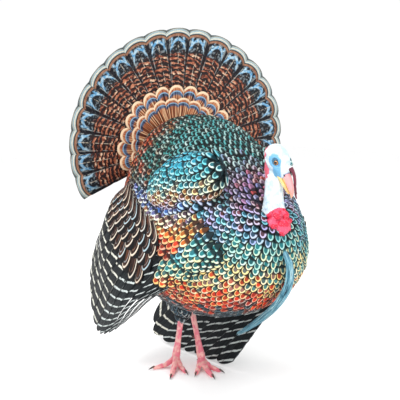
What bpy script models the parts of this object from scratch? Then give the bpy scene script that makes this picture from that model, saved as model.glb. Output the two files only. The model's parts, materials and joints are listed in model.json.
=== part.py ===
"""Wild turkey gobbler in full strut, life size.

Metres, +Z up. The bird faces -Y and its left side is +X. It is modelled round a point just below the floor
under its breast, and at the end the whole bird is moved so that the origin is the bottom centre of its box.
"""

import math

import bmesh
import bpy
import numpy as np
from mathutils import Matrix, Vector

GAP = 0.0004  # between pieces that touch

# Trunk: rings from the neck's root to the tail's root. Each ring is hung between a point of the back's
# outline and a point of the breast's outline, given as y, z, y, z, with its half width last.
TRUNK_RINGS = (
    (-0.300, 0.500, -0.310, 0.492, 0.000),
    (-0.268, 0.537, -0.350, 0.460, 0.060),
    (-0.232, 0.584, -0.362, 0.392, 0.106),
    (-0.182, 0.640, -0.356, 0.324, 0.148),
    (-0.128, 0.692, -0.296, 0.254, 0.185),
    (-0.048, 0.710, -0.202, 0.210, 0.208),
    (0.026, 0.698, -0.086, 0.204, 0.209),
    (0.076, 0.662, 0.026, 0.214, 0.180),
    (0.108, 0.602, 0.118, 0.248, 0.142),
    (0.132, 0.548, 0.172, 0.314, 0.102),
    (0.156, 0.498, 0.194, 0.384, 0.058),
    (0.178, 0.450, 0.184, 0.438, 0.000),
)
TRUNK_SQUARENESS = 0.88  # 1 is an ellipse across, less is squarer
TRUNK_TAPER = 0.11  # how much narrower the back is than the breast

# Head, in its own frame: +X is the bird's left, +Y runs out along the bill, +Z is the crown.
HEAD_AT = (0.0155, -0.316, 0.608)
HEAD_DOWN, HEAD_TURN = 56.0, 12.0  # degrees that the bill points down, and to the bird's left
HEAD_RINGS = (  # along the bill's axis, height of the middle, half width, half height
    (-0.039, 0.000, 0.000, 0.000),
    (-0.036, 0.000, 0.0132, 0.0148),
    (-0.024, 0.001, 0.0225, 0.0248),
    (-0.006, 0.001, 0.0263, 0.0292),
    (0.011, 0.000, 0.0248, 0.0278),
    (0.025, -0.002, 0.0195, 0.0222),
    (0.036, -0.004, 0.0142, 0.0166),
    (0.042, -0.005, 0.0098, 0.0120),
    (0.043, -0.005, 0.000, 0.000),
)
BILL_UPPER_RINGS = (
    (0.030, 0.000, 0.0000, 0.0000),
    (0.031, 0.000, 0.0130, 0.0098),
    (0.046, 0.000, 0.0122, 0.0090),
    (0.063, -0.002, 0.0096, 0.0076),
    (0.078, -0.006, 0.0064, 0.0060),
    (0.089, -0.012, 0.0030, 0.0034),
    (0.0925, -0.0165, 0.0000, 0.0000),
)
BILL_LOWER_RINGS = (
    (0.030, -0.013, 0.0000, 0.0000),
    (0.031, -0.013, 0.0112, 0.0062),
    (0.050, -0.0137, 0.0098, 0.0052),
    (0.067, -0.0148, 0.0070, 0.0042),
    (0.079, -0.0155, 0.0038, 0.0026),
    (0.082, -0.0155, 0.0000, 0.0000),
)
EYE_RADIUS = 0.0078
EYE_OUT, EYE_FORWARD, EYE_UP = 0.0178, 0.008, 0.006
SNOOD_PATH = (  # in the head's frame: x, y, z, radius
    (0.001, 0.027, 0.0185, 0.0058),
    (0.005, 0.037, 0.0180, 0.0052),
    (0.013, 0.051, 0.0110, 0.0044),
    (0.0154, 0.067, 0.0010, 0.0038),
    (0.0138, 0.085, -0.0080, 0.0034),
    (0.0120, 0.100, -0.0125, 0.0022),
)

# Neck and what hangs on it, in the bird's frame: x, y, z, half width, half depth.
NECK_PATH = (
    (0.017, -0.307, 0.614, 0.013, 0.013),
    (0.018, -0.302, 0.597, 0.0215, 0.0222),
    (0.019, -0.302, 0.560, 0.0205, 0.0222),
    (0.012, -0.309, 0.520, 0.0222, 0.0242),
    (0.004, -0.316, 0.484, 0.0268, 0.0286),
    (0.002, -0.320, 0.465, 0.0200, 0.0200),
)
CARUNCLES = (  # lobes at the neck's root: x, y, z, radii across, deep, tall
    (0.000, -0.350, 0.458, 0.0190, 0.0150, 0.0200),
    (-0.0215, -0.337, 0.464, 0.0140, 0.0130, 0.0165),
    (0.0215, -0.337, 0.464, 0.0140, 0.0130, 0.0165),
    (-0.009, -0.338, 0.484, 0.0125, 0.0120, 0.0130),
    (0.011, -0.339, 0.482, 0.0125, 0.0120, 0.0130),
)
BEARD_PATH = (  # x, y, z, half width, half depth
    (0.000, -0.360, 0.398, 0.0060, 0.0050),
    (0.000, -0.374, 0.372, 0.0100, 0.0075),
    (-0.002, -0.374, 0.330, 0.0125, 0.0085),
    (-0.004, -0.349, 0.284, 0.0140, 0.0085),
    (-0.006, -0.306, 0.238, 0.0135, 0.0080),
    (-0.008, -0.254, 0.196, 0.0105, 0.0065),
    (-0.008, -0.210, 0.164, 0.0050, 0.0035),
)

# Tail fan: the tail feathers' tips lie on a circle round the tail's root.
TAIL_AT = (0.063, 0.110, 0.608)
TAIL_LEAN, TAIL_TURN, TAIL_ROLL = -3.0, 17.0, 8.6  # degrees back, towards the right side, tipped to the right
TAIL_RADIUS, TAIL_HALF_SPREAD, TAIL_FEATHERS = 0.327, 105.5, 18
TAIL_ROOT, TAIL_CUP, TAIL_THICK = 0.050, 0.026, 0.0060
COVERT_RADIUS, COVERT_HALF_SPREAD, COVERT_FEATHERS = 0.180, 102.0, 14
COVERT_ROOT, COVERT_AHEAD, COVERT_THICK, COVERT_ASIDE = 0.050, 0.0120, 0.0100, -0.011
RUMP_AT, RUMP_RADII = (0.055, 0.139, 0.566), (0.098, 0.066, 0.104)

# Wings: the flight feathers' roots run from the wrist to the elbow, and their tips along a curve, from the
# leading primary to the innermost secondary. x is outwards.
WINGS = {
    "right": {
        "side": -1,
        "roots": ((0.180, -0.240, 0.350), (0.196, -0.200, 0.372), (0.212, -0.110, 0.448), (0.204, -0.020, 0.530)),
        "tips": (
            (0.186, -0.035, 0.216),
            (0.220, 0.040, 0.150),
            (0.231, 0.094, 0.147),
            (0.238, 0.110, 0.262),
            (0.224, 0.100, 0.372),
            (0.200, 0.050, 0.458),
        ),
        "bow": 0.024,
        "shoulder": (0.152, -0.190, 0.556),
    },
    "left": {
        "side": 1,
        "roots": ((0.174, -0.216, 0.300), (0.193, -0.182, 0.330), (0.212, -0.100, 0.425), (0.204, -0.010, 0.520)),
        "tips": (
            (0.078, -0.080, 0.0165),
            (0.066, 0.030, 0.0165),
            (0.058, 0.130, 0.0175),
            (0.060, 0.248, 0.046),
            (0.141, 0.257, 0.188),
            (0.186, 0.200, 0.315),
            (0.202, 0.116, 0.446),
        ),
        "bow": 0.024,
        "shoulder": (0.148, -0.160, 0.548),
    },
}
PRIMARIES, SECONDARIES = 9, 11
PRIMARY_SHARE = 0.42  # of the way from the leading primary to the last secondary
FLIGHT_THICK = 0.0060
# The patch of short feathers over the flight feathers' roots: how far it lies each way along and across the
# wing, and how far it stands out of the wing's surface and reaches in.
COVERT_PATCH = {"along": (-0.02, 1.0), "across": (-0.20, 0.456), "out": 0.024, "in": 0.030}
SHOULDER_RADII, SHOULDER_TIP, SHOULDER_TURN = (0.046, 0.112, 0.070), -24.0, 22.0

# Legs, caught in a step: the left foot is ahead, under the breast, and the right foot is turned out more.
# "outer" is the outer toe's own angle off the middle one. The floor is a little above this frame's origin.
FLOOR = 0.012
LEGS = {
    "right": {"side": -1, "hock": (0.020, -0.010, 0.205), "foot": (0.020, 0.022, 0.046), "turn": 48.0, "outer": 58.0},
    "left": {"side": 1, "hock": (0.030, 0.027, 0.205), "foot": (0.028, -0.026, 0.046), "turn": -18.0, "outer": 30.0},
}
THIGH_PATH = (  # from the hock: outwards, back, up, half width, half depth
    (0.022, -0.020, 0.070, 0.026, 0.036),
    (0.022, -0.018, 0.052, 0.038, 0.054),
    (0.018, -0.012, 0.018, 0.037, 0.052),
    (0.010, -0.006, -0.010, 0.029, 0.038),
    (0.004, -0.001, -0.022, 0.018, 0.022),
    (0.003, 0.000, -0.026, 0.012, 0.014),
)
SHANK_SHAPE = (  # share of the way down, half width, half depth
    (-0.15, 0.0060, 0.0070),
    (-0.10, 0.0095, 0.0110),
    (0.04, 0.0125, 0.0145),
    (0.16, 0.0095, 0.0115),
    (0.40, 0.0070, 0.0090),
    (0.75, 0.0072, 0.0090),
    (0.95, 0.0105, 0.0110),
    (1.04, 0.0110, 0.0110),
    (1.09, 0.0060, 0.0060),
)
TOES = {  # direction from straight ahead (outwards is plus), length, radius at the root
    "middle": (0.0, 0.086, 0.0085),
    "inner": (-34.0, 0.064, 0.0078),
    "outer": (0.0, 0.069, 0.0078),
    "hind": (172.0, 0.034, 0.0062),
}
TOE_PAD, TOE_ROOT_HEIGHT, CLAW_LENGTH, CLAW_CLEAR = 0.0012, 0.028, 0.018, 0.0010
SPUR_SHARE, SPUR_LENGTH, SPUR_RADIUS = 0.74, 0.026, 0.0058


def clear_scene():
    for obj in list(bpy.data.objects):
        bpy.data.objects.remove(obj)


def collection(name):
    made = bpy.data.collections.new(name)
    bpy.context.scene.collection.children.link(made)
    return made


def finish(name, colour, roughness, metallic=0.0):
    made = bpy.data.materials.new(name)
    made.use_nodes = True
    shader = made.node_tree.nodes["Principled BSDF"]
    shader.inputs["Base Color"].default_value = (*colour, 1.0)
    shader.inputs["Roughness"].default_value = roughness
    shader.inputs["Metallic"].default_value = metallic
    return made


def smooth_rows(rows, count):
    """count rows of numbers on a Catmull-Rom curve through the given rows."""
    rows = np.array(rows, float)
    padded = np.vstack((2 * rows[0] - rows[1], rows, 2 * rows[-1] - rows[-2]))
    made = []
    for share in np.linspace(0, len(rows) - 1, count):
        i = min(int(share), len(rows) - 2)
        t = share - i
        a, b, c, d = padded[i : i + 4]
        made.append(
            0.5 * (2 * b + (c - a) * t + (2 * a - 5 * b + 4 * c - d) * t**2 + (3 * b - a - 3 * c + d) * t**3)
        )
    return np.array(made)


def add(name, mesh, material):
    """A named piece of the bird with this mesh, shaded smooth, and its cutter."""
    obj = bpy.data.objects.new(name, mesh)
    bird.objects.link(obj)
    mesh.materials.clear()
    mesh.materials.append(material)
    mesh.shade_smooth()
    mesh.set_sharp_from_angle(angle=math.radians(40))
    add_cutter(obj)
    return obj


def finished_mesh(obj):
    """A copy of obj's mesh as its modifiers leave it."""
    bpy.context.view_layer.update()
    return bpy.data.meshes.new_from_object(obj.evaluated_get(bpy.context.evaluated_depsgraph_get()))


def add_cutter(obj):
    """A hidden copy of obj, larger by the gap all round, to cut its neighbours with."""
    mesh = finished_mesh(obj)
    moves = [vert.normal.copy() for vert in mesh.vertices]
    for vert, normal in zip(mesh.vertices, moves, strict=True):
        vert.co += normal * GAP
    cutter = bpy.data.objects.new("cutter_" + obj.name, mesh)
    cutters.objects.link(cutter)
    cutter.hide_render = True
    cutter.display_type = "WIRE"


def mesh_of(name, shape):
    bmesh.ops.triangulate(shape, faces=shape.faces)
    if shape.calc_volume(signed=True) < 0:
        bmesh.ops.reverse_faces(shape, faces=shape.faces)
    mesh = bpy.data.meshes.new(name)
    shape.to_mesh(mesh)
    shape.free()
    return mesh


def ring_loft(name, ring_point, rings, sides):
    """A closed tube with a pole at each end: a sphere whose rings are laid where ring_point(ring, turn) says.

    turn starts half a step round, so that a side of the tube, not an edge, faces each way.
    """
    shape = bmesh.new()
    bmesh.ops.create_uvsphere(shape, u_segments=sides, v_segments=rings, radius=1.0)
    for vert in shape.verts:
        ring = round(rings * math.acos(max(-1.0, min(1.0, vert.co.z))) / math.pi)
        vert.co = ring_point(ring, math.atan2(vert.co.y, vert.co.x) + math.pi / sides)
    return mesh_of(name, shape)


def tube_loft(name, rows, rings, sides, side_axis=(1, 0, 0), floor=None):
    """A tube along rows of x, y, z, half width, half depth. Its width lies along side_axis."""
    rows = smooth_rows(rows, rings + 1)
    path = rows[:, :3]
    ahead = np.gradient(path, axis=0)
    side = Vector(side_axis)

    def ring_point(ring, turn):
        along = Vector(ahead[ring]).normalized()
        across = (side - along * side.dot(along)).normalized()
        deep = along.cross(across)
        width, depth = (0, 0) if ring in (0, rings) else rows[ring, 3:5]
        point = Vector(path[ring]) + across * width * math.cos(turn) + deep * depth * math.sin(turn)
        if floor is not None:
            point.z = max(point.z, floor)
        return point

    return ring_loft(name, ring_point, rings, sides)


def squared(value, power):
    return math.copysign(abs(value) ** power, value)


def trunk_mesh(sides=24, rings=16):
    rows = smooth_rows(TRUNK_RINGS, rings + 1)

    def ring_point(ring, turn):
        back, front = Vector((0, rows[ring, 0], rows[ring, 1])), Vector((0, rows[ring, 2], rows[ring, 3]))
        width = 0 if ring in (0, rings) else rows[ring, 4]
        across = width * squared(math.cos(turn), TRUNK_SQUARENESS) * (1 - TRUNK_TAPER * math.sin(turn))
        return (back + front) / 2 + (back - front) / 2 * math.sin(turn) + Vector((across, 0, 0))

    return ring_loft("trunk", ring_point, rings, sides)


def ellipsoid(name, at, radii, turn=None, segments=20):
    shape = bmesh.new()
    bmesh.ops.create_uvsphere(shape, u_segments=segments, v_segments=segments // 2, radius=1.0)
    place = Matrix.Translation(at) @ (turn or Matrix()) @ Matrix.Diagonal((*radii, 1))
    bmesh.ops.transform(shape, matrix=place, verts=shape.verts)
    return mesh_of(name, shape)


def parts_of(shape):
    """The separate parts of a shape, each as a list of its vertices."""
    parts, seen = [], set()
    for start in shape.verts:
        if start in seen:
            continue
        seen.add(start)
        part = [start]
        for vert in part:
            near = {edge.other_vert(vert) for edge in vert.link_edges} - seen
            seen |= near
            part += near
        parts.append(part)
    return parts


def settle(obj):
    """Keeps the result of obj's Booleans as its mesh, without the slivers and chips they leave."""
    mesh = finished_mesh(obj)
    obj.modifiers.clear()
    shape = bmesh.new()
    shape.from_mesh(mesh)
    bmesh.ops.remove_doubles(shape, verts=shape.verts, dist=0.00002)
    bmesh.ops.dissolve_degenerate(shape, edges=shape.edges, dist=0.00001)
    for part in sorted(parts_of(shape), key=len)[:-1]:
        bmesh.ops.delete(shape, geom=part, context="VERTS")
    bmesh.ops.triangulate(shape, faces=shape.faces)
    shape.to_mesh(mesh)
    shape.free()
    obj.data = mesh
    return obj


def cut(obj, *others):
    """Takes the space of the others, and a gap, out of obj."""
    for other in others:
        modifier = obj.modifiers.new("clear_of_" + other.name, "BOOLEAN")
        modifier.object = bpy.data.objects["cutter_" + other.name]
        modifier.operation = "DIFFERENCE"
        modifier.solver = "MANIFOLD"
        settle(obj)
    return obj


def joined(obj, *others):
    """obj as one body with the others, which are removed."""
    for other in others:
        modifier = obj.modifiers.new("with_" + other.name, "BOOLEAN")
        modifier.object = other
        modifier.operation = "UNION"
        settle(obj)
        bpy.data.objects.remove(other)
    return obj


def sheet(name, surface, columns, rows, thick, material):
    """A solid sheet: a grid laid on surface(u, v), both from 0 to 1, then given its thickness."""
    shape = bmesh.new()
    bmesh.ops.create_grid(shape, x_segments=columns, y_segments=rows, size=0.5)
    for vert in shape.verts:
        vert.co = surface(vert.co.x + 0.5, vert.co.y + 0.5)
    mesh = bpy.data.meshes.new(name)
    shape.to_mesh(mesh)
    shape.free()
    flat = bpy.data.objects.new(name, mesh)
    bpy.context.scene.collection.objects.link(flat)
    solid = flat.modifiers.new("thickness", "SOLIDIFY")
    solid.thickness = thick
    solid.offset = 0.0
    solid.use_even_offset = True
    flat.modifiers.new("triangles", "TRIANGULATE")
    mesh = finished_mesh(flat)
    bpy.data.objects.remove(flat)
    return add(name, mesh, material)


def scallop(share, feathers, depth):
    """How far the rim stands back at this share of a fan's spread, when it has this many round tips."""
    across = 2 * (share * feathers % 1.0) - 1
    if share >= 1.0:
        across = 1.0
    return 1 - depth * abs(across) ** 2.4


def tail_frame():
    turn = (
        Matrix.Rotation(math.radians(-TAIL_TURN), 4, "Z")
        @ Matrix.Rotation(math.radians(-TAIL_LEAN), 4, "X")
        @ Matrix.Rotation(math.radians(-TAIL_ROLL), 4, "Y")
    )
    return Matrix.Translation(TAIL_AT) @ turn


def fan(name, radius, half_spread, feathers, root, ahead, thick, rows, side_fall, material, aside=0.0):
    """A fan of feathers in the tail's frame, where +Z is its middle feather and -Y its face."""
    frame = tail_frame()

    def surface(u, v):
        angle = math.radians(half_spread * (2 * u - 1))
        reach = radius * (1 - side_fall * (2 * u - 1) ** 2) * scallop(u, feathers, 0.035)
        out = root + (reach - root) * v**0.8
        forward = ahead + TAIL_CUP * (out / TAIL_RADIUS) ** 2
        return frame @ Vector((aside + out * math.sin(angle), -forward, out * math.cos(angle)))

    return sheet(name, surface, feathers * 3, rows, thick, material)


def wing_point(wing, k, s, out=0.0):
    """k runs from the leading primary, 0, to the last secondary, 1, and s from root to tip."""
    root = smooth_at(wing["roots"], k)
    tip = smooth_at(wing["tips"], k)
    point = root + (tip - root) * s
    point.x += wing["bow"] * math.sin(math.pi * min(s, 1.0)) + out
    point.x *= wing["side"]
    return point


def smooth_at(rows, share):
    """The point at this share of the curve through rows."""
    fine = smooth_rows(rows, 65)
    at = min(max(share, 0.0), 1.0) * 64
    i = min(int(at), 63)
    return Vector(fine[i] + (fine[i + 1] - fine[i]) * (at - i))


def flight_feathers(name, wing, low, high, feathers, columns):
    def surface(u, v):
        k = low + (high - low) * u
        return wing_point(wing, k, v * scallop(u, feathers, 0.05))

    return sheet(name, surface, feathers * columns, 2, FLIGHT_THICK, finishes["flight"])


def wing_coverts(name, wing, rings=6, sides=16):
    """The domed rows of short feathers over the flight feathers' roots: a blunt lens on the wing's surface."""
    low, high = COVERT_PATCH["along"], COVERT_PATCH["across"]

    def ring_point(ring, turn):
        slope = math.pi * ring / rings
        reach = math.sin(slope) ** 0.6 if 0 < ring < rings else 0
        reach /= (abs(math.cos(turn)) ** 3 + abs(math.sin(turn)) ** 3) ** (1 / 3)
        k = (low[0] + low[1]) / 2 + (low[1] - low[0]) / 2 * reach * math.cos(turn)
        s = (high[0] + high[1]) / 2 + (high[1] - high[0]) / 2 * reach * math.sin(turn)
        rise = COVERT_PATCH["out" if ring < rings / 2 else "in"] * math.cos(slope)
        return wing_point(wing, k, s, rise)

    return add(name, ring_loft(name, ring_point, rings, sides), finishes["feather"])


def make_wing(side, trunk):
    wing = WINGS[side]
    split = 0.004
    primaries = flight_feathers(f"wing_{side}_primaries", wing, 0.0, PRIMARY_SHARE - split, PRIMARIES, 3)
    secondaries = flight_feathers(f"wing_{side}_secondaries", wing, PRIMARY_SHARE + split, 1.0, SECONDARIES, 2)
    coverts = wing_coverts(f"wing_{side}_coverts", wing)
    x, y, z = wing["shoulder"]
    turn = Matrix.Rotation(math.radians(-wing["side"] * SHOULDER_TURN), 4, "Z")
    turn = turn @ Matrix.Rotation(math.radians(SHOULDER_TIP), 4, "X")
    mound = ellipsoid("shoulder", (x * wing["side"], y, z), SHOULDER_RADII, turn, 14)
    shoulder = add(f"wing_{side}_shoulder", mound, finishes["feather"])
    cut(coverts, trunk)
    cut(primaries, trunk, coverts)
    cut(secondaries, trunk, coverts)
    cut(shoulder, trunk, coverts, secondaries)


def head_frame():
    """Carries the head's own frame, bill along +Y, to its place: the bird faces -Y, so it is turned half round."""
    turn = Matrix.Rotation(math.radians(180 + HEAD_TURN), 4, "Z") @ Matrix.Rotation(math.radians(-HEAD_DOWN), 4, "X")
    return Matrix.Translation(HEAD_AT) @ turn


def head_loft(name, rows, rings, sides, material):
    frame = head_frame()
    rows = smooth_rows(rows, rings + 1)

    def ring_point(ring, turn):
        along, middle, width, height = rows[ring]
        width, height = (0, 0) if ring in (0, rings) else (width, height)
        return frame @ Vector((width * math.cos(turn), along, middle + height * math.sin(turn)))

    return add(name, ring_loft(name, ring_point, rings, sides), material)


def make_head():
    frame = head_frame()
    head = head_loft("head", HEAD_RINGS, 9, 14, finishes["skin"])
    upper = head_loft("bill_upper", BILL_UPPER_RINGS, 8, 10, finishes["bill"])
    lower = head_loft("bill_lower", BILL_LOWER_RINGS, 6, 10, finishes["bill"])
    eyes = []
    for side, sign in (("left", -1), ("right", 1)):
        at = frame @ Vector((sign * EYE_OUT, EYE_FORWARD, EYE_UP))
        eyes.append(add("eye_" + side, ellipsoid("eye", at, [EYE_RADIUS] * 3, segments=10), finishes["eye"]))
    path = [(*(frame @ Vector((-x, y, z))), r, r) for x, y, z, r in SNOOD_PATH]
    snood = add("snood", tube_loft("snood", path, 8, 6), finishes["wattle"])
    cut(lower, upper)
    cut(head, upper, lower, *eyes)
    cut(snood, head, upper)
    return head, upper, lower, snood


def make_neck(trunk, head, lower):
    neck = add("neck", tube_loft("neck", NECK_PATH, 7, 12), finishes["skin"])
    cut(neck, head, trunk, lower)
    lobes = [
        add(f"lobe_{i}", ellipsoid("lobe", row[:3], row[3:], segments=8), finishes["wattle"])
        for i, row in enumerate(CARUNCLES)
    ]
    caruncles = joined(*lobes)
    caruncles.name = "caruncles"
    return cut(caruncles, neck, trunk)


def make_leg(side, trunk):
    leg = LEGS[side]
    hock, foot = [Vector((leg["side"] * x, y, z)) for x, y, z in (leg["hock"], leg["foot"])]
    path = [(*(hock + (foot - hock) * share), width, depth) for share, width, depth in SHANK_SHAPE]
    shank = add(f"leg_{side}_shank", tube_loft("shank", path, 10, 8, floor=FLOOR), finishes["leg"])
    path = [(hock.x + leg["side"] * x, hock.y + y, hock.z + z, w, d) for x, y, z, w, d in THIGH_PATH]
    thigh = add(f"leg_{side}_thigh", tube_loft("thigh", path, 5, 8), finishes["feather"])
    cut(shank, trunk)
    cut(thigh, trunk, shank)
    done = [shank]
    for toe in TOES:
        done.append(make_toe(side, toe, foot, done))
    at = hock + (foot - hock) * SPUR_SHARE
    back = Vector((-leg["side"] * 0.35, 0.90, 0.12)).normalized()
    path = [
        (*(at + back * SPUR_LENGTH * share + Vector((0, 0, 0.007 * share**2))), *[SPUR_RADIUS * (1 - share)] * 2)
        for share in (0.15, 0.3, 0.55, 0.8, 1.0)
    ]
    cut(add(f"leg_{side}_spur", tube_loft("spur", path, 4, 5), finishes["claw"]), shank)


def make_toe(side, toe, foot, neighbours):
    """A toe and its claw, flat where they press on the floor. Returns the toe."""
    angle, length, radius = TOES[toe]
    angle += LEGS[side].get(toe, 0.0)
    turn = Matrix.Rotation(math.radians(LEGS[side]["side"] * (LEGS[side]["turn"] + angle)), 3, "Z")
    ahead, side_axis = turn @ Vector((0, -1, 0)), turn @ Vector((1, 0, 0))
    rows = []
    for share in np.linspace(0.0, 1.0, 9):
        thick = radius * (1 - 0.35 * share) * (1 + 0.09 * math.cos(6 * math.pi * share))
        height = FLOOR + TOE_ROOT_HEIGHT * (1 - share) ** 4 + thick - TOE_PAD
        rows.append((*(foot + ahead * length * share)[:2], height, thick, thick))
    obj = add(f"leg_{side}_toe_{toe}", tube_loft("toe", rows, 6, 8, side_axis, FLOOR), finishes["leg"])
    cut(obj, *neighbours)
    tip, claw = Vector(rows[-1][:3]), []
    for share in (0.0, 0.2, 0.5, 0.8, 1.0):
        thick = 0.62 * rows[-1][3] * (1 - 0.85 * share)
        at = tip + ahead * (CLAW_LENGTH * share - 0.004)
        claw.append((at.x, at.y, max(at.z + 0.002 - 0.006 * share**2, FLOOR + thick - TOE_PAD), thick, thick))
    nail = add(f"leg_{side}_claw_{toe}", tube_loft("claw", claw, 4, 6, side_axis, FLOOR + CLAW_CLEAR), finishes["claw"])
    cut(nail, obj)
    return obj


def stand_on_origin():
    """Moves the bird so that its box stands centred on the origin."""
    corners = []
    for obj in bird.objects:
        points = np.empty(len(obj.data.vertices) * 3, np.float32)
        obj.data.vertices.foreach_get("co", points)
        points = points.reshape(-1, 3)
        corners += [points.min(0), points.max(0)]
    low, high = np.min(corners, axis=0), np.max(corners, axis=0)
    move = Vector((-(low[0] + high[0]) / 2, -(low[1] + high[1]) / 2, -low[2]))
    for obj in bird.objects:
        obj.location = move


clear_scene()
bird, cutters = collection("wild_turkey"), collection("cutters")
finishes = {
    "feather": finish("body_feather", (0.10, 0.20, 0.17), 0.45, 0.3),
    "tail": finish("tail_feather", (0.16, 0.09, 0.05), 0.6),
    "flight": finish("flight_feather", (0.06, 0.06, 0.06), 0.6),
    "skin": finish("bare_skin", (0.72, 0.82, 0.88), 0.5),
    "wattle": finish("red_wattle", (0.72, 0.05, 0.08), 0.4),
    "bill": finish("bill_horn", (0.80, 0.60, 0.42), 0.4),
    "eye": finish("eye", (0.25, 0.12, 0.03), 0.1),
    "leg": finish("leg_scale", (0.80, 0.35, 0.33), 0.5),
    "claw": finish("claw_horn", (0.12, 0.10, 0.09), 0.35),
    "beard": finish("beard_bristle", (0.10, 0.16, 0.20), 0.5),
}
trunk = add("trunk", trunk_mesh(), finishes["feather"])
head, upper, lower, snood = make_head()
make_neck(trunk, head, lower)
cut(add("beard", tube_loft("beard", BEARD_PATH, 10, 8), finishes["beard"]), trunk)
tail_finish = finishes["tail"]
tail = fan(
    "tail_fan", TAIL_RADIUS, TAIL_HALF_SPREAD, TAIL_FEATHERS, TAIL_ROOT, 0.0, TAIL_THICK, 2, 0.05, tail_finish
)
coverts = fan(
    "tail_coverts",
    COVERT_RADIUS,
    COVERT_HALF_SPREAD,
    COVERT_FEATHERS,
    COVERT_ROOT,
    COVERT_AHEAD,
    COVERT_THICK,
    2,
    0.06,
    tail_finish,
    COVERT_ASIDE,
)
rump = add("rump", ellipsoid("rump", RUMP_AT, RUMP_RADII, segments=12), finishes["feather"])
cut(tail, trunk, rump)
cut(coverts, trunk, rump, tail)
cut(rump, trunk)
for wing_side in WINGS:
    make_wing(wing_side, trunk)
    make_leg(wing_side, trunk)
stand_on_origin()
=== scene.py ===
import json
import math

import bmesh
import bpy
import numpy as np
from mathutils import Matrix, Vector
from mathutils.bvhtree import BVHTree
from mathutils.kdtree import KDTree

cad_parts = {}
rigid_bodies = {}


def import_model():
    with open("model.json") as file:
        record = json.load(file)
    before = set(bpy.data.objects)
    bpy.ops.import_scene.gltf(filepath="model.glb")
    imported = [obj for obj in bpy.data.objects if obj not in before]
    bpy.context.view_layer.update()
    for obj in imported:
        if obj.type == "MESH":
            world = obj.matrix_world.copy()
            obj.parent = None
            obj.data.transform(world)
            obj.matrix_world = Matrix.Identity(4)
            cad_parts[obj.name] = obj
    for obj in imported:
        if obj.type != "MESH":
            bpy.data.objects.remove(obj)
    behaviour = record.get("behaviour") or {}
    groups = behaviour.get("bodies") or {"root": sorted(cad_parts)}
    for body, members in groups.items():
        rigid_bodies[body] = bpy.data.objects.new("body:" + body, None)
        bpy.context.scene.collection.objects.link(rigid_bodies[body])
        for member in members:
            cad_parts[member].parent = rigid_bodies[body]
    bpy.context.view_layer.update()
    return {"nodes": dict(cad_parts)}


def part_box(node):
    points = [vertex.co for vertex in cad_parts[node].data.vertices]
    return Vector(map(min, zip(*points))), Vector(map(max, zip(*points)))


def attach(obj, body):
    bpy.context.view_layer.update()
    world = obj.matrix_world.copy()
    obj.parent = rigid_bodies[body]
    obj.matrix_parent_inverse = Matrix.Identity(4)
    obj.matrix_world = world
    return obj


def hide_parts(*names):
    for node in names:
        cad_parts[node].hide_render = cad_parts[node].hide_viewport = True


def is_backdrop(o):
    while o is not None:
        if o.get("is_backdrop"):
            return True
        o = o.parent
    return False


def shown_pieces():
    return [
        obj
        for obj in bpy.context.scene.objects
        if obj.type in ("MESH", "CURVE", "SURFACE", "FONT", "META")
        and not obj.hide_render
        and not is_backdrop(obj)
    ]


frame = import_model()
chance = np.random.default_rng(11)
bpy.context.scene.view_settings.view_transform = "Standard"

# Everything is laid out round a point just below the floor under the breast: the bird faces -Y, its left +X.
# The whole bird is then moved by shift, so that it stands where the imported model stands.
head = {
    "at": (0.0155, -0.316, 0.608),
    "down": 56.0,  # degrees that the bill points down
    "turn": 12.0,  # degrees to the bird's left
    "eye": (0.0178, 0.008, 0.006),
    "eyeRadius": 0.0078,
}
headPlace = (
    Matrix.Translation(head["at"])
    @ Matrix.Rotation(math.radians(180 + head["turn"]), 4, "Z")
    @ Matrix.Rotation(math.radians(-head["down"]), 4, "X")
)
eyeLow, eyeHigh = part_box("eye_right")
shift = (eyeLow + eyeHigh) / 2 - headPlace @ Vector(head["eye"])


# Small tools for curves, surfaces and meshes

def curveAt(rows, share):  # the smooth curve through rows, at shares of its length in rows
    rows = np.asarray(rows, float)
    padded = np.vstack((2 * rows[0] - rows[1], rows, 2 * rows[-1] - rows[-2]))
    place = np.asarray(share, float) * (len(rows) - 1)
    step = np.clip(np.floor(place).astype(int), 0, len(rows) - 2)
    t = (place - step)[..., None]
    a, b, c, d = padded[step], padded[step + 1], padded[step + 2], padded[step + 3]
    return 0.5 * (2 * b + (c - a) * t + (2 * a - 5 * b + 4 * c - d) * t**2 + (3 * b - a - 3 * c + d) * t**3)


def unit(vectors):
    return vectors / np.maximum(np.linalg.norm(vectors, axis=-1, keepdims=True), 1e-12)


def smooth(value, low, high):
    t = np.clip((np.asarray(value, float) - low) / (high - low), 0, 1)
    return t * t * (3 - 2 * t)


def moved(points, place):
    place = np.array(place)
    return points @ place[:3, :3].T + place[:3, 3]


def meshFrom(name, verts, faces, values=None):  # values are per point numbers, kept as attributes
    mesh = bpy.data.meshes.new(name)
    mesh.from_pydata(np.asarray(verts, float).tolist(), [], faces)
    addValues(mesh, values or {})
    return mesh


def addValues(mesh, values):
    for key, column in values.items():
        column = np.asarray(column, np.float32)
        kind = "FLOAT_VECTOR" if column.ndim == 2 else "FLOAT"
        made = mesh.attributes.get(key) or mesh.attributes.new(key, kind, "POINT")
        made.data.foreach_set("vector" if column.ndim == 2 else "value", column.ravel())


def pointsOf(mesh, key="position"):
    wide = 3 if mesh.attributes[key].data_type == "FLOAT_VECTOR" else 1
    row = np.zeros(len(mesh.vertices) * wide, np.float32)
    mesh.attributes[key].data.foreach_get("vector" if wide == 3 else "value", row)
    return row.reshape(-1, 3).astype(float) if wide == 3 else row.astype(float)


def setPoints(mesh, points):
    mesh.vertices.foreach_set("co", np.asarray(points, np.float32).ravel())
    mesh.update()


def objectFrom(name, data, *materials):
    made = bpy.data.objects.new(name, data)
    bpy.context.scene.collection.objects.link(made)
    for material in materials:
        data.materials.append(material)
    return made


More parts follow.
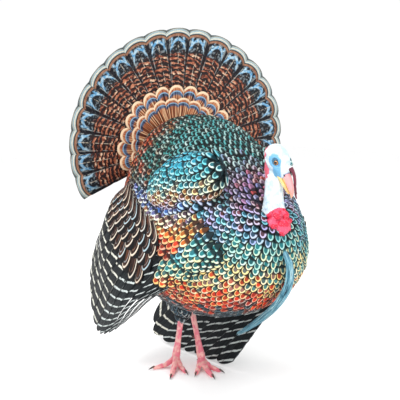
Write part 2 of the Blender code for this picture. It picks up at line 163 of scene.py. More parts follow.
def settled(name, made):  # the plain mesh that an object's modifiers leave, in a new object
    bpy.context.view_layer.update()
    mesh = bpy.data.meshes.new_from_object(made.evaluated_get(bpy.context.evaluated_depsgraph_get()))
    mesh.name = name
    bpy.data.objects.remove(made)
    return mesh


def joinMeshes(name, meshes):
    shape = bmesh.new()
    for mesh in meshes:
        shape.from_mesh(mesh)
    made = bpy.data.meshes.new(name)
    shape.to_mesh(made)
    shape.free()
    return made


def loft(name, surface, rings, sides):  # a closed skin round surface(share, turn), with a pole at each end
    shares = np.linspace(0, 1, rings + 1)
    turns = np.linspace(0, 2 * math.pi, sides, endpoint=False)
    share, turn = np.meshgrid(shares[1:-1], turns, indexing="ij")
    body = surface(share, turn).reshape(-1, 3)
    around = np.linspace(0, 2 * math.pi, 8, endpoint=False)
    poles = [surface(np.full(8, end), around).mean(0) for end in (0.0, 1.0)]
    verts = np.vstack((body, poles))
    rows = rings - 1
    faces = []
    for i in range(rows - 1):
        for j in range(sides):
            k = (j + 1) % sides
            faces.append((i * sides + j, i * sides + k, (i + 1) * sides + k, (i + 1) * sides + j))
    for j in range(sides):
        k = (j + 1) % sides
        faces.append((rows * sides, k, j))
        faces.append((rows * sides + 1, (rows - 1) * sides + j, (rows - 1) * sides + k))
    mesh = meshFrom(name, verts, faces, {"share": np.append(share.ravel(), [0, 1])})
    shape = bmesh.new()
    shape.from_mesh(mesh)
    if shape.calc_volume(signed=True) < 0:
        bmesh.ops.reverse_faces(shape, faces=shape.faces)
    shape.to_mesh(mesh)
    shape.free()
    return mesh


def tube(rows, sideAxis=(1, 0, 0), rounding=0.05):  # rows are x, y, z, half width, half depth
    def surface(share, turn):
        at, before, after = curveAt(rows, share), curveAt(rows, share - 0.004), curveAt(rows, share + 0.004)
        along = unit(after[..., :3] - before[..., :3])
        side = np.broadcast_to(np.array(sideAxis, float), along.shape)
        across = unit(side - along * (side * along).sum(-1, keepdims=True))
        deep = np.cross(along, across)
        end = np.clip(np.minimum(share, 1 - share) / rounding, 0, 1)
        blunt = np.sqrt(np.clip(1 - (1 - end) ** 2, 0, 1))[..., None]
        wide, thick = at[..., 3:4] * blunt, at[..., 4:5] * blunt
        return at[..., :3] + across * wide * np.cos(turn)[..., None] + deep * thick * np.sin(turn)[..., None]

    return surface


def ellipsoid(at, radii, place=None):  # share runs from pole to pole along Y
    def surface(share, turn):
        slope = math.pi * share
        ring, along = np.sin(slope), -np.cos(slope)
        wide, tall = ring * np.cos(turn) * radii[0], ring * np.sin(turn) * radii[2]
        flat = np.stack((wide, along * radii[1], tall), -1)
        return moved(flat, place or Matrix()) + np.array(at)

    return surface


def turnShare(turn):  # how far round from the underside, from 0 to 1
    return ((turn + math.pi / 2) / (2 * math.pi)) % 1.0


def nearTree(points):  # finds the nearest of many points
    tree = KDTree(len(points))
    for index, point in enumerate(points):
        tree.insert(Vector(point), index)
    tree.balance()
    return tree


def travelled(line):  # how far along the line each of its points is
    return np.concatenate(([0], np.cumsum(np.linalg.norm(np.diff(line, axis=0), axis=1))))


def crisp(mesh):  # smooth faces with crisp rims
    mesh.shade_smooth()
    mesh.set_sharp_from_angle(angle=math.radians(60))


def normalsOf(surface, share, turn):  # the unit directions along share and out of the surface
    step = 0.003
    low, high = np.clip(share - step, 0.0, 1.0), np.clip(share + step, 0.0, 1.0)
    ahead = surface(high, turn) - surface(low, turn)
    aside = surface(share, turn + step * 4) - surface(share, turn - step * 4)
    return unit(ahead), unit(np.cross(aside, ahead))


def outward(surface, start=0.1, end=0.9):  # 1 if the normals already point out, -1 if they point in
    share, turn = np.meshgrid(np.linspace(start, end, 12), np.linspace(0, 2 * math.pi, 24, endpoint=False))
    share, turn = share.ravel(), turn.ravel()
    points = surface(share, turn)
    return math.copysign(1, (normalsOf(surface, share, turn)[1] * (points - points.mean(0))).sum())


def inset(surface, depth):  # the surface moved inwards
    sign = outward(surface)

    def inner(share, turn):
        safe = np.clip(share, 0.012, 0.988)
        return surface(share, turn) - normalsOf(surface, safe, turn)[1] * depth * sign

    return inner


# Shader and Geometry Nodes sums, written as Python expressions

def rgb(text):  # a colour as it is named on a chart, made linear
    parts = [int(text[i : i + 2], 16) / 255 for i in (0, 2, 4)]
    return tuple(c / 12.92 if c <= 0.04045 else ((c + 0.055) / 1.055) ** 2.4 for c in parts)


class Wire:  # a socket that takes part in sums
    def __init__(self, tree, socket):
        self.tree, self.socket = tree, socket

    def maths(self, operation, *terms):
        return self.tree.node("ShaderNodeMath", {"operation": operation}, dict(enumerate(terms)))

    def __add__(self, other):
        return self.maths("ADD", self, other)

    def __sub__(self, other):
        return self.maths("SUBTRACT", self, other)

    def __rsub__(self, other):
        return self.maths("SUBTRACT", other, self)

    def __mul__(self, other):
        return self.maths("MULTIPLY", self, other)

    def __truediv__(self, other):
        return self.maths("DIVIDE", self, other)

    def __pow__(self, other):
        return self.maths("POWER", self, other)

    def __mod__(self, other):
        return self.maths("FLOORED_MODULO", self, other)

    def __abs__(self):
        return self.maths("ABSOLUTE", self)

    __radd__, __rmul__ = __add__, __mul__

    def most(self, other):
        return self.maths("MAXIMUM", self, other)

    def wave(self):
        return self.maths("SINE", self)

    def scrambled(self, times):  # another chance value, from 0 to 1, out of a feather's seed
        return (self * times) % 1.0

    def step(self, low, high):  # 0 below low, 1 above high, smooth between
        ends = {"Value": self, "From Min": low, "From Max": high}
        return self.tree.node("ShaderNodeMapRange", {"interpolation_type": "SMOOTHSTEP"}, ends)

    def ramp(self, *stops):
        return self.tree.node("ShaderNodeValToRGB", {"stops": stops}, {0: self})


class Tree:  # nodes of one material or one Geometry Nodes group
    def __init__(self, nodes):
        self.nodes = nodes

    def node(self, kind, settings=None, sockets=None, output=0):
        made = self.nodes.nodes.new(kind)
        for key, value in (settings or {}).items():
            if key == "stops":
                ramp = made.color_ramp
                while len(ramp.elements) < len(value):
                    ramp.elements.new(1.0)
                for element, (at, colour) in zip(ramp.elements, value):
                    element.position, element.color = at, (*rgb(colour), 1.0)
            else:
                setattr(made, key, value)
        for key, value in (sockets or {}).items():
            if isinstance(value, Wire):
                self.nodes.links.new(value.socket, made.inputs[key])
            elif value is not None:
                made.inputs[key].default_value = value
        return Wire(self, made.outputs[output])


class Finish(Tree):  # one material, built round its Principled shader
    def __init__(self, name):
        self.material = bpy.data.materials.new(name)
        self.material.use_nodes = True
        super().__init__(self.material.node_tree)
        self.shader = self.nodes.nodes["Principled BSDF"]

    def value(self, name):
        return self.node("ShaderNodeAttribute", {"attribute_name": name}, output=2)

    def values(self, *names):
        return [self.value(name) for name in names]

    def vector(self, name):
        return self.node("ShaderNodeAttribute", {"attribute_name": name}, output=1)

    def place(self):
        return self.node("ShaderNodeTexCoord", output=3)

    def noise(self, where, scale, detail=2.0, rough=0.5):
        sockets = {"Vector": where, "Scale": scale, "Detail": detail, "Roughness": rough}
        return self.node("ShaderNodeTexNoise", None, sockets)

    def streaks(self, x, y, z, scale=1.0, detail=2.0, rough=0.5):  # noise in a feather's own directions
        return self.noise(self.node("ShaderNodeCombineXYZ", None, {0: x, 1: y, 2: z}), scale, detail, rough)

    def mix(self, share, first, second):  # each colour is a socket or a colour's name on a chart
        first, second = [(*rgb(c), 1.0) if isinstance(c, str) else c for c in (first, second)]
        return self.node("ShaderNodeMix", {"data_type": "RGBA"}, {0: share, 6: first, 7: second}, output=2)

    def bump(self, height, distance, strength=1.0):
        sockets = {"Height": height, "Distance": distance, "Strength": strength}
        return self.node("ShaderNodeBump", None, sockets)

    def barbs(self, lines, strength=0.3):  # the fine slanting lines of a vane
        return self.bump(lines.wave(), 0.0002, strength)

    def surface(self, gloss=0.5, **sockets):
        self.shader.inputs["Specular IOR Level"].default_value = gloss
        for key, value in sockets.items():
            name = "".join(" " + c if c.isupper() else c for c in key)
            name = name[0].upper() + name[1:]
            if isinstance(value, Wire):
                self.nodes.links.new(value.socket, self.shader.inputs[name])
            else:
                self.shader.inputs[name].default_value = value
        return self.material


# Body surfaces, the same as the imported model's

trunk = {
    "rings": (  # back y, z, front y, z, half width
        (-0.300, 0.500, -0.310, 0.492, 0.000),
        (-0.268, 0.537, -0.350, 0.460, 0.060),
        (-0.232, 0.584, -0.362, 0.392, 0.106),
        (-0.182, 0.640, -0.356, 0.324, 0.148),
        (-0.128, 0.692, -0.296, 0.254, 0.185),
        (-0.048, 0.710, -0.202, 0.210, 0.208),
        (0.026, 0.698, -0.086, 0.204, 0.209),
        (0.076, 0.662, 0.026, 0.214, 0.180),
        (0.108, 0.602, 0.118, 0.248, 0.142),
        (0.132, 0.548, 0.172, 0.314, 0.102),
        (0.156, 0.498, 0.194, 0.384, 0.058),
        (0.178, 0.450, 0.184, 0.438, 0.000),
    ),
    "squareness": 0.88,
    "taper": 0.11,
    "coatDepth": 0.0085,
}


def trunkSurface(share, turn):
    rows = curveAt(trunk["rings"], share)
    zero = np.zeros_like(share)
    back = np.stack((zero, rows[..., 0], rows[..., 1]), -1)
    front = np.stack((zero, rows[..., 2], rows[..., 3]), -1)
    cosine, sine = np.cos(turn), np.sin(turn)
    across = np.maximum(rows[..., 4], 0) * np.sign(cosine) * np.abs(cosine) ** trunk["squareness"]
    across = across * (1 - trunk["taper"] * sine)
    return (back + front) / 2 + (back - front) / 2 * sine[..., None] + np.stack((across, zero, zero), -1)


wings = {
    "right": {
        "side": -1,
        "roots": (
            (0.180, -0.240, 0.350),
            (0.196, -0.200, 0.372),
            (0.212, -0.110, 0.448),
            (0.204, -0.020, 0.530),
        ),
        "tips": (
            (0.186, -0.035, 0.216),
            (0.220, 0.040, 0.150),
            (0.231, 0.094, 0.147),
            (0.238, 0.110, 0.262),
            (0.224, 0.100, 0.372),
            (0.200, 0.050, 0.458),
        ),
        "bow": 0.024,
        "shoulder": (0.152, -0.190, 0.556),
        "small": (-0.36, 0.14, -0.05),  # where the small coverts start, and end at the wrist and the elbow
    },
    "left": {
        "side": 1,
        "roots": (
            (0.174, -0.216, 0.300),
            (0.193, -0.182, 0.330),
            (0.212, -0.100, 0.425),
            (0.204, -0.010, 0.520),
        ),
        "tips": (
            (0.078, -0.080, 0.0165),
            (0.066, 0.030, 0.0165),
            (0.058, 0.130, 0.0175),
            (0.060, 0.248, 0.046),
            (0.141, 0.257, 0.188),
            (0.186, 0.200, 0.315),
            (0.202, 0.116, 0.446),
        ),
        "bow": 0.024,
        "shoulder": (0.148, -0.160, 0.548),
        "small": (-0.30, 0.22, 0.06),
    },
}
patch = {  # the mound of wing coverts: its ends along and across the wing, and how far it stands out and in
    "along": (-0.02, 1.0),
    "across": (-0.20, 0.456),
    "out": 0.024,
    "in": 0.030,
    "skinShare": 0.94,  # the skin's edge is inside the mound's by this share
}
mound = {"radii": (0.046, 0.112, 0.070), "tip": -24.0, "turn": 22.0}
rump = {"at": (0.055, 0.139, 0.566), "radii": (0.098, 0.066, 0.104)}


def wingSurface(wing, k, s, out=0.0):
    root, tip = curveAt(wing["roots"], k), curveAt(wing["tips"], k)
    point = root + (tip - root) * np.asarray(s)[..., None]
    bulge = wing["bow"] * np.sin(math.pi * np.minimum(s, 1.0)) + out
    point[..., 0] = (point[..., 0] + bulge) * wing["side"]
    return point


def middleAndHalf(ends):
    return (ends[0] + ends[1]) / 2, (ends[1] - ends[0]) / 2


def patchRise(k, s):  # how far the mound of wing coverts stands out of the wing here, from 0 to 1
    (kMiddle, kHalf), (sMiddle, sHalf) = middleAndHalf(patch["along"]), middleAndHalf(patch["across"])
    a, b = np.abs(k - kMiddle) / kHalf, np.abs(s - sMiddle) / sHalf
    reach = np.clip((a**3 + b**3) ** (1 / 3), 0, 1)
    return np.sqrt(np.clip(1 - reach ** (10 / 3), 0, 1))


def patchBody(wing, depth):  # the closed lens under the wing coverts, depth inside their surface
    (kMiddle, kHalf), (sMiddle, sHalf) = middleAndHalf(patch["along"]), middleAndHalf(patch["across"])

    def surface(share, turn):
        slope = math.pi * share
        cosine, sine = np.cos(turn), np.sin(turn)
        squared = (np.abs(cosine) ** 3 + np.abs(sine) ** 3) ** (1 / 3)
        reach = np.sin(slope) ** 0.6 / squared * patch["skinShare"]
        k, s = kMiddle + kHalf * reach * cosine, sMiddle + sHalf * reach * sine
        rise = np.where(share < 0.5, patch["out"] - depth, patch["in"] - depth) * np.cos(slope)
        return wingSurface(wing, k, s, rise)

    return surface


def shoulderAt(wing):
    return np.array(wing["shoulder"]) * np.array((wing["side"], 1, 1))


def moundPlace(wing):
    turn = Matrix.Rotation(math.radians(-wing["side"] * mound["turn"]), 4, "Z")
    return turn @ Matrix.Rotation(math.radians(mound["tip"]), 4, "X")


legs = {
    "right": {
        "side": -1,
        "hock": (0.020, -0.010, 0.205),
        "foot": (0.020, 0.022, 0.046),
        "turn": 48.0,
        "outer": 58.0,  # how far the outer toe points away from the middle one
    },
    "left": {
        "side": 1,
        "hock": (0.030, 0.027, 0.205),
        "foot": (0.028, -0.026, 0.046),
        "turn": -18.0,
        "outer": 30.0,
    },
}
thighPath = (  # from the hock: outwards, back, up, half width, half depth
    (0.022, -0.020, 0.070, 0.026, 0.036),
    (0.022, -0.018, 0.052, 0.038, 0.054),
    (0.018, -0.012, 0.018, 0.037, 0.052),
    (0.010, -0.006, -0.010, 0.029, 0.038),
    (0.004, -0.001, -0.022, 0.018, 0.022),
    (0.003, 0.000, -0.026, 0.012, 0.014),
)
shankShape = (  # share of the way down, half width, half depth
    (-0.15, 0.0060, 0.0070),
    (-0.10, 0.0095, 0.0110),
    (0.04, 0.0125, 0.0145),
    (0.16, 0.0095, 0.0115),
    (0.40, 0.0070, 0.0090),
    (0.75, 0.0072, 0.0090),
    (0.95, 0.0105, 0.0110),
    (1.04, 0.0110, 0.0110),
    (1.09, 0.0060, 0.0060),
)
toes = {  # direction from straight ahead (outwards is plus), length, radius at the root
    "middle": (0.0, 0.086, 0.0085),
    "inner": (-34.0, 0.064, 0.0078),
    "outer": (0.0, 0.069, 0.0078),
    "hind": (172.0, 0.034, 0.0062),
}
foot = {
    "pad": 0.0012,
    "rootHeight": 0.028,  # how high the toes' roots rise above their tips
    "floor": 0.012,
    "clawLength": 0.018,
    "clawClear": 0.0010,
    "scute": 0.0048,  # a scale's length on a toe
    "shankScute": 0.0072,
    "relief": 0.0008,
}
spur = {"share": 0.74, "length": 0.026, "radius": 0.0058}


def legPoints(side):
    leg = legs[side]
    return [np.array((leg["side"] * x, y, z)) for x, y, z in (leg["hock"], leg["foot"])]


def thighRows(side):
    hock, sign = legPoints(side)[0], legs[side]["side"]
    return [(hock[0] + sign * x, hock[1] + y, hock[2] + z, w, d) for x, y, z, w, d in thighPath]


def innerThigh(side):  # the thigh inside its down
    return [(x, y, z, w - 0.007 * (w > 0.02), d - 0.007 * (d > 0.022)) for x, y, z, w, d in thighRows(side)]


def shankRows(side):
    hock, sole = legPoints(side)
    return [(*(hock + (sole - hock) * share), w, d) for share, w, d in shankShape]


def toeLine(side, toe):  # the toe's direction, its sideways direction, and its rows
    angle, length, radius = toes[toe]
    angle += legs[side].get(toe, 0.0)
    turn = Matrix.Rotation(math.radians(legs[side]["side"] * (legs[side]["turn"] + angle)), 3, "Z")
    ahead, aside = np.array(turn @ Vector((0, -1, 0))), np.array(turn @ Vector((1, 0, 0)))
    rows = []
    for share in np.linspace(0.0, 1.0, 9):
        thick = radius * (1 - 0.35 * share) * (1 + 0.09 * math.cos(6 * math.pi * share))
        height = foot["floor"] + foot["rootHeight"] * (1 - share) ** 4 + thick - foot["pad"]
        rows.append((*(legPoints(side)[1] + ahead * length * share)[:2], height, thick, thick))
    return ahead, aside, rows


# Finishes

plumage = {  # each tract has the colour inside a feather, then the colour of the bright edge round it: the iridescent band as it looks when lit, partly painted highlight
    "breast": (  # from the belly up to the throat
        (0.00, "16242c"), (0.15, "1d2f39"), (0.20, "5e2418"), (0.25, "c42d17"), (0.32, "e63c1e"),
        (0.40, "c8502a"), (0.48, "4a7c7a"), (0.58, "2f7a7c"), (0.70, "1f7276"), (0.82, "35607c"),
        (0.91, "54333a"), (0.99, "8a3a2c"),
    ),
    "breastEdge": (
        (0.00, "2b4755"), (0.15, "3c6472"), (0.21, "8a5a48"), (0.27, "e8744f"), (0.34, "f6b46c"),
        (0.42, "fadf8c"), (0.54, "f8efb4"), (0.66, "b4e2d0"), (0.75, "74c8d6"), (0.84, "a6b6ea"),
        (0.93, "c4a6dc"), (1.00, "8aa0c8"),
    ),
    "mantle": (  # from the neck back to the tail
        (0.00, "6a2c22"), (0.10, "3a2a2e"), (0.20, "14302f"), (0.34, "0d2727"), (0.44, "0e211d"),
        (0.50, "2a1814"), (0.57, "7c2c1c"), (0.76, "241a18"),
    ),
    "mantleEdge": (
        (0.00, "d8654c"), (0.10, "a090c8"), (0.20, "5fa8a8"), (0.34, "4a9a9c"), (0.44, "3a7c74"),
        (0.50, "8a6a48"), (0.58, "d65f3c"), (0.76, "7a563e"),
    ),
    "nape": ((0.0, "c8442c"), (0.40, "b9a6e0"), (0.7, "8f9fd6"), (1.0, "d2603c")),
    "shoulder": (  # from below to the top of the mound
        (0.00, "3a3450"), (0.18, "6a4038"), (0.36, "8a5a34"), (0.50, "2f6870"), (0.68, "1c7684"),
        (0.90, "2688a0"),
    ),
    "shoulderEdge": (
        (0.00, "8fa4e0"), (0.18, "d8c4ea"), (0.36, "f6e4a0"), (0.50, "d6eedc"), (0.68, "6ccbd6"),
        (0.90, "4fb3cc"),
    ),
    "wing": (  # from the elbow's end of the small coverts down to the larger ones
        (0.00, "4a4a90"), (0.20, "3f6ab0"), (0.40, "7a5a58"), (0.58, "c8742c"), (0.74, "d83c22"),
        (0.93, "7a2a1c"),
    ),
    "wingEdge": (
        (0.00, "b6a8ee"), (0.20, "9cc0f0"), (0.38, "f2ead0"), (0.56, "f7dc84"), (0.76, "f0a070"),
        (0.95, "c8805c"),
    ),
    "edge": "07090d",
    "down": "1b2a33",
    "downEdge": "3f5a68",
}


def bodyColour(m):  # the markings by place on the body, the same for the skin and the coat
    root = m.vector("root")
    seed, height, share, back, tract = m.values("seed", "height", "share", "back", "tract")
    drift = m.noise(root, 9.0, 2.5) - 0.5
    jitter = drift * 0.26 + (seed - 0.5) * 0.20
    found = []
    for edge in ("", "Edge"):
        breast = (height + jitter).ramp(*plumage["breast" + edge])
        mantle = (share + jitter * 0.7).ramp(*plumage["mantle" + edge])
        nape = share.step(0.20, 0.10) * (0.85 if edge else 0.4)
        mantle = m.mix(nape, mantle, seed.scrambled(3.7).ramp(*plumage["nape"]))
        colour = m.mix((back + jitter).step(0.05, 0.40), breast, mantle)
        for above, part, loose in ((0.4, "shoulder", 1.3), (1.4, "wing", 1.1)):
            local = (height + jitter * loose).ramp(*plumage[part + edge])
            colour = m.mix(tract.step(above, above + 0.2), colour, local)
        found.append(m.mix(tract.step(2.4, 2.6), colour, plumage["down" + edge]))
    return found


def coatFinish():  # a dark rim, a bright crescent inside it, and the fill; the crescent is the feather's iridescent band with a painted highlight, wider on one side
    m = Finish("bodyFeather")
    across, along, seed = m.values("across", "along", "seed")
    fill, bright = bodyColour(m)
    end = ((along - 0.66) / 0.27).most(0.0)
    side = across / 0.74
    reach = (side * side + end * end) ** 0.5
    # the crescent's middle is set off to one side, so the painted highlight is wider on the lit side
    offsetToLitSide = (across - 0.15) / 0.60
    inner = (offsetToLitSide * offsetToLitSide + end * end * 1.75) ** 0.5
    fill = m.mix(seed.scrambled(9.3).step(0.25, 0.75) * 0.45, fill, plumage["edge"])
    # some crescents are paled towards white, part of the painted highlight
    pale = m.mix(seed.scrambled(5.9).step(0.35, 1.0) * 0.40, bright, "f6f7ee")
    bandAndHighlight = inner.step(0.62, 0.86) * along.step(0.40, 0.60)
    shade = m.mix(bandAndHighlight, fill, pale)
    # the feather's base is darkened towards near black: partly its duller real base, partly painted shade in
    # the gaps under the row above
    shade = m.mix(along.step(0.58, 0.44) * 0.85, shade, plumage["edge"])
    rim = reach.step(0.90, 1.04)
    shade = m.mix(rim * 0.97, shade, plumage["edge"])
    return m.surface(
        gloss=0.22,
        baseColor=shade,
        metallic=bandAndHighlight * 0.12,
        roughness=0.60 - bandAndHighlight * 0.12,
        normal=m.barbs(along * 190.0 - abs(across) * 60.0, 0.35),
    )


def tailFinish():  # the fan: along is 0 at the root and 1 at the tip
    m = Finish("tailFeather")
    across, along, seed = m.values("across", "along", "seed")
    side = abs(across)
    grain = m.noise(m.place(), 130.0, 3.0, 0.7) - 0.5
    ripple = m.streaks(across * 1.2, along * 16.0, seed * 40.0, 1.3, 3.0, 0.6)
    bow = along + side * side * 0.022
    patchy = m.streaks(across * 2.6, along * 30.0, seed * 90.0, 1.0, 2.0)
    slant = along * 150.0 + side * 2.0 + across * 3.0 + (ripple - 0.5) * 12.0
    bars = slant.wave().step(-0.20, 0.45) * patchy.step(0.33, 0.52)
    brown = m.mix(patchy.step(0.45, 0.62), "8a4530", m.mix(ripple.step(0.45, 0.66), "b9785a", "e8ccac"))
    barred = m.mix(bars, "241a1b", brown)
    dots = m.streaks(across * 4.5, along * 46.0, seed * 55.0, 1.0, 2.0)
    black = m.mix(dots.step(0.50, 0.68) * 0.70, "15181e", "8a969c")
    arch = abs((side * side * 0.17 + bow) - 0.900).step(0.021, 0.009)
    flank = abs(side - 0.50).step(0.13, 0.05) * bow.step(0.80, 0.87) * patchy.step(0.36, 0.50)
    sheen = arch.most(flank) * side.step(0.74, 0.62) * bow.step(0.935, 0.915)
    black = m.mix(sheen * 0.80, black, m.mix(dots.step(0.35, 0.65), "5f9fcc", "b5d3e2"))
    colour = m.mix((bow + (patchy - 0.5) * 0.16).step(0.775, 0.800), barred, black)
    gulf = abs(across + 0.03).step(0.64, 0.76)
    colour = m.mix(gulf * 0.84, colour, "14131a")
    thread = abs(side - 0.68).step(0.045, 0.015) * ripple.step(0.44, 0.56)
    colour = m.mix(thread * 0.6, colour, "a9b0ac")
    chestnut = m.mix(grain + patchy * 0.6, "6e4030", "c29a7c")
    colour = m.mix(bow.step(0.926, 0.934), colour, chestnut)
    colour = m.mix(bow.step(0.948, 0.954), colour, "2a201a")
    rim = m.mix((bow * 260.0 + grain * 4.0).wave().step(-0.2, 0.6), "93a8ae", "d2cdbc")
    colour = m.mix(bow.step(0.957, 0.965), colour, rim)
    colour = m.mix(bow.step(0.990, 0.996) * 0.8, colour, "2f3a3e")
    colour = m.mix(along.step(0.22, 0.05) * 0.8, colour, "1a1414")
    shaft = side.step(0.045, 0.02) * along.step(0.95, 0.9)
    colour = m.mix(shaft * 0.55, colour, m.mix(ripple.step(0.45, 0.55), "2a1d18", "d9cdb9"))
    return m.surface(
        gloss=0.2,
        baseColor=colour,
        roughness=0.5 - sheen * 0.12,
        metallic=sheen * 0.3,
        normal=m.barbs(along * 900.0 - side * 90.0),
    )


def tailCovertFinish():
    m = Finish("tailCovert")
    across, along, seed = m.values("across", "along", "seed")
    grain = m.noise(m.place(), 150.0, 3.0, 0.7) - 0.5
    bow = along + across * across * 0.04
    stripe = m.streaks(across * 5.0, along * 0.9, seed * 30.0, 1.5, 2.0)
    stripes = ((0.30, "171315"), (0.43, "6d3a28"), (0.53, "b9714a"), (0.63, "e9cfa4"), (0.74, "a45c3c"))
    body = stripe.ramp(*stripes)
    body = m.mix(bow.step(0.80, 0.84) * 0.9, body, m.mix(stripe.step(0.3, 0.7), "10131a", "3c6e9c"))
    rough = bow + grain * 0.05
    colour = m.mix(rough.step(0.890, 0.910), body, m.mix(stripe.step(0.35, 0.65), "8c4630", "c98a5e"))
    colour = m.mix(rough.step(0.940, 0.968), colour, m.mix(grain + 0.5, "f2dfc2", "e6bd95"))
    colour = m.mix(abs(bow - 0.888).step(0.014, 0.006) * 0.8, colour, "8fbcd8")
    side = abs(across)
    edge = side.step(0.80, 0.93) * 0.85 * bow.step(0.98, 0.9)
    colour = m.mix(edge, colour, m.mix(stripe.step(0.45, 0.5), "0f0d0f", "ead6ae"))
    colour = m.mix(along.step(0.35, 0.1) * 0.8, colour, "140f0f")
    return m.surface(gloss=0.2, baseColor=colour, roughness=0.5, normal=m.barbs(along * 400.0 - side * 60.0))


def flightFinish(name, pale, dark, gap, bright, edging):  # long wing feathers with straight pale cross bars
    m = Finish(name)
    across, seed, span = m.values("across", "seed", "span")
    wobble = m.streaks(across * 1.5, span * 30.0, seed * 50.0, 1.2, 3.0) - 0.5
    side = abs(across)
    straight = span * (1.0 - side * side * 0.050)
    reach = straight / gap - across * 0.45 - side * 0.05 + wobble * 0.30 + seed * 0.8
    bar = abs((reach % 1.0) - 0.5).step(0.120, 0.080) * (wobble + 0.5).step(0.30, 0.42)
    bar = bar * side.step(0.92, 0.80) * bright
    streak = m.streaks(across * 16.0, span * 40.0, seed * 70.0, 1.0, 2.0)
    colour = m.mix(streak.step(0.35, 0.75), dark, "262c30")
    edge = abs(side - 0.95).step(0.05, 0.02) * edging * (wobble + 0.5).step(0.40, 0.55)
    colour = m.mix((bar * (0.60 + streak * 0.7)).most(edge), colour, pale)
    colour = m.mix(side.step(0.05, 0.02) * 0.7, colour, "050607")
    return m.surface(gloss=0.15, baseColor=colour, roughness=0.5, normal=m.barbs(span * 2400.0 - side * 60.0))


def largeCovertFinish():  # brown, each with a pale rim and a paler line that follows it
    m = Finish("greaterCovert")
    across, along, seed = m.values("across", "along", "seed")
    streak = m.streaks(across * 5.0, along * 2.5, seed * 60.0, 1.0, 3.0)
    side = abs(across)
    end = ((along - 0.55) / 0.45).most(0.0)
    reach = (side * side + end * end * (0.75 + seed * 0.2)) ** 0.5
    colour = m.mix(streak.step(0.40, 0.62), "140f10", m.mix(seed.step(0.3, 0.8), "35201a", "5c3625"))
    inner = abs(reach - 0.56).step(0.055, 0.020) * streak.step(0.34, 0.52)
    colour = m.mix(inner * 0.55, colour, m.mix(seed, "8f6a55", "a8b4b8"))
    rim = abs(reach - 0.83).step(0.075, 0.035) * (0.55 + streak * 0.8)
    colour = m.mix(rim, colour, m.mix(seed.scrambled(7.3).step(0.3, 0.9), "d9cbb8", "a9c0c8"))
    colour = m.mix(reach.step(0.90, 0.98), colour, "0b0c0f")
    colour = m.mix(side.step(0.05, 0.02) * 0.8, colour, "070707")
    lines = m.barbs(along * 300.0 - side * 60.0)
    return m.surface(gloss=0.15, baseColor=colour, roughness=0.55, normal=lines)


def skinFinish():
    m = Finish("skinAll")
    place = m.place()
    coat, eye, nape, low = m.values("coat", "eyeNear", "nape", "low")
    wattle, knob, leg, scute = m.values("wattle", "knob", "leg", "scute")
    fine = m.noise(place, 420.0, 4.0, 0.6)
    broad = m.noise(place, 70.0, 3.0, 0.6)
    drift = broad - 0.5
    bare = m.mix(broad.step(0.35, 0.65), "e9f3f6", "bcd5e4")
    blue = eye + drift * 0.5
    bare = m.mix(blue.step(0.25, 0.60), bare, m.mix(fine, "3f8fc4", "8cc8e6"))
    bare = m.mix(abs(blue - 0.36).step(0.16, 0.02) * 0.55, bare, "2f7fb4")
    bare = m.mix(eye.step(0.965, 0.998) * 0.75, bare, "1f4a60")  # the lids are darker
    bare = m.mix((nape + drift * 1.6).step(0.55, 0.72) * 0.9, bare, "e4546a")
    bare = m.mix((low + drift * 1.3).step(0.55, 0.75) * 0.9, bare, "e6476b")
    red = m.mix(knob.step(0.01, 0.09), "dc4f70", m.mix(broad, "c2082f", "e4204a"))
    red = m.mix((fine - broad * 0.3).step(0.44, 0.52) * 0.45, red, "f6b9c6")
    bare = m.mix((wattle + drift * 1.1 * (1 - wattle.step(0.75, 1.0))).step(0.3, 0.6), bare, red)
    bare = m.mix(m.value("snood").step(0.4, 0.6), bare, m.mix(broad, "4a1626", "8a2f48"))
    scale = m.mix(broad.step(0.4, 0.6), "e8788a", "f3b7b0")
    scale = m.mix(scute.step(0.30, 0.02) * 0.8, scale, "8f2f3d")
    bare = m.mix(leg.step(0.4, 0.6), bare, scale)
    # under the coat the skin takes the fill colour darkened to near black: painted shade in the gaps between
    # feathers
    under = m.mix(0.80, bodyColour(m)[0], plumage["edge"])
    colour = m.mix(coat.step(0.4, 0.6), bare, under)
    wrinkle = m.bump(m.noise(place, 300.0, 5.0, 0.65), 0.0012, 0.55)
    return m.surface(baseColor=colour, roughness=0.46 + coat * 0.3, normal=wrinkle)


def hornFinish():  # the bill: along its length and round it
    m = Finish("billHorn")
    share, up, hole = m.values("reach", "up", "hole")
    place = m.place()
    grain = m.noise(place, 160.0, 4.0, 0.6)
    horn = m.mix((up + (grain - 0.5) * 0.6).step(0.35, 0.8), "f2d08a", "ee9fa0")
    horn = m.mix(share.step(0.80, 1.0) * 0.35, horn, "c98a5c")
    cere = m.mix(grain, "d5dfea", "b7c4d8")
    line = share + abs(up - 0.25) * 0.16 + (grain - 0.5) * 0.05
    colour = m.mix(line.step(0.30, 0.34), cere, horn)
    colour = m.mix(abs(line - 0.32).step(0.035, 0.012) * 0.75, colour, "4a5f86")
    # the nostril's opening is painted dark blue-black: painted shade inside it
    colour = m.mix(hole, colour, "1d2436")
    pores = m.bump(m.noise(place, 500.0, 3.0), 0.0003, 0.3)
    return m.surface(baseColor=colour, roughness=0.34, normal=pores, coatWeight=0.25)


def clawFinish():
    m = Finish("clawHorn")
    share = m.value("share")
    grain = m.noise(m.place(), 300.0, 3.0)
    colour = m.mix((share + (grain - 0.5) * 0.4).step(0.1, 0.8), "6a4a44", "17120f")
    return m.surface(baseColor=colour, roughness=0.36, normal=m.bump(grain, 0.0003, 0.3), coatWeight=0.2)


def eyeFinish():  # slope is the angle off the eye's axis, in radians
    m = Finish("eyeGlass")
    slope = m.value("slope")
    rays = m.noise(m.vector("rays"), 7.0, 3.0, 0.7)
    iris = m.mix(rays, "6e3a10", "e09a2e")
    iris = m.mix(slope.step(0.62, 0.78), iris, "1b0f0a")
    colour = m.mix(slope.step(0.46, 0.42), iris, "030304")
    return m.surface(baseColor=colour, roughness=0.08, coatWeight=1.0, coatRoughness=0.03)


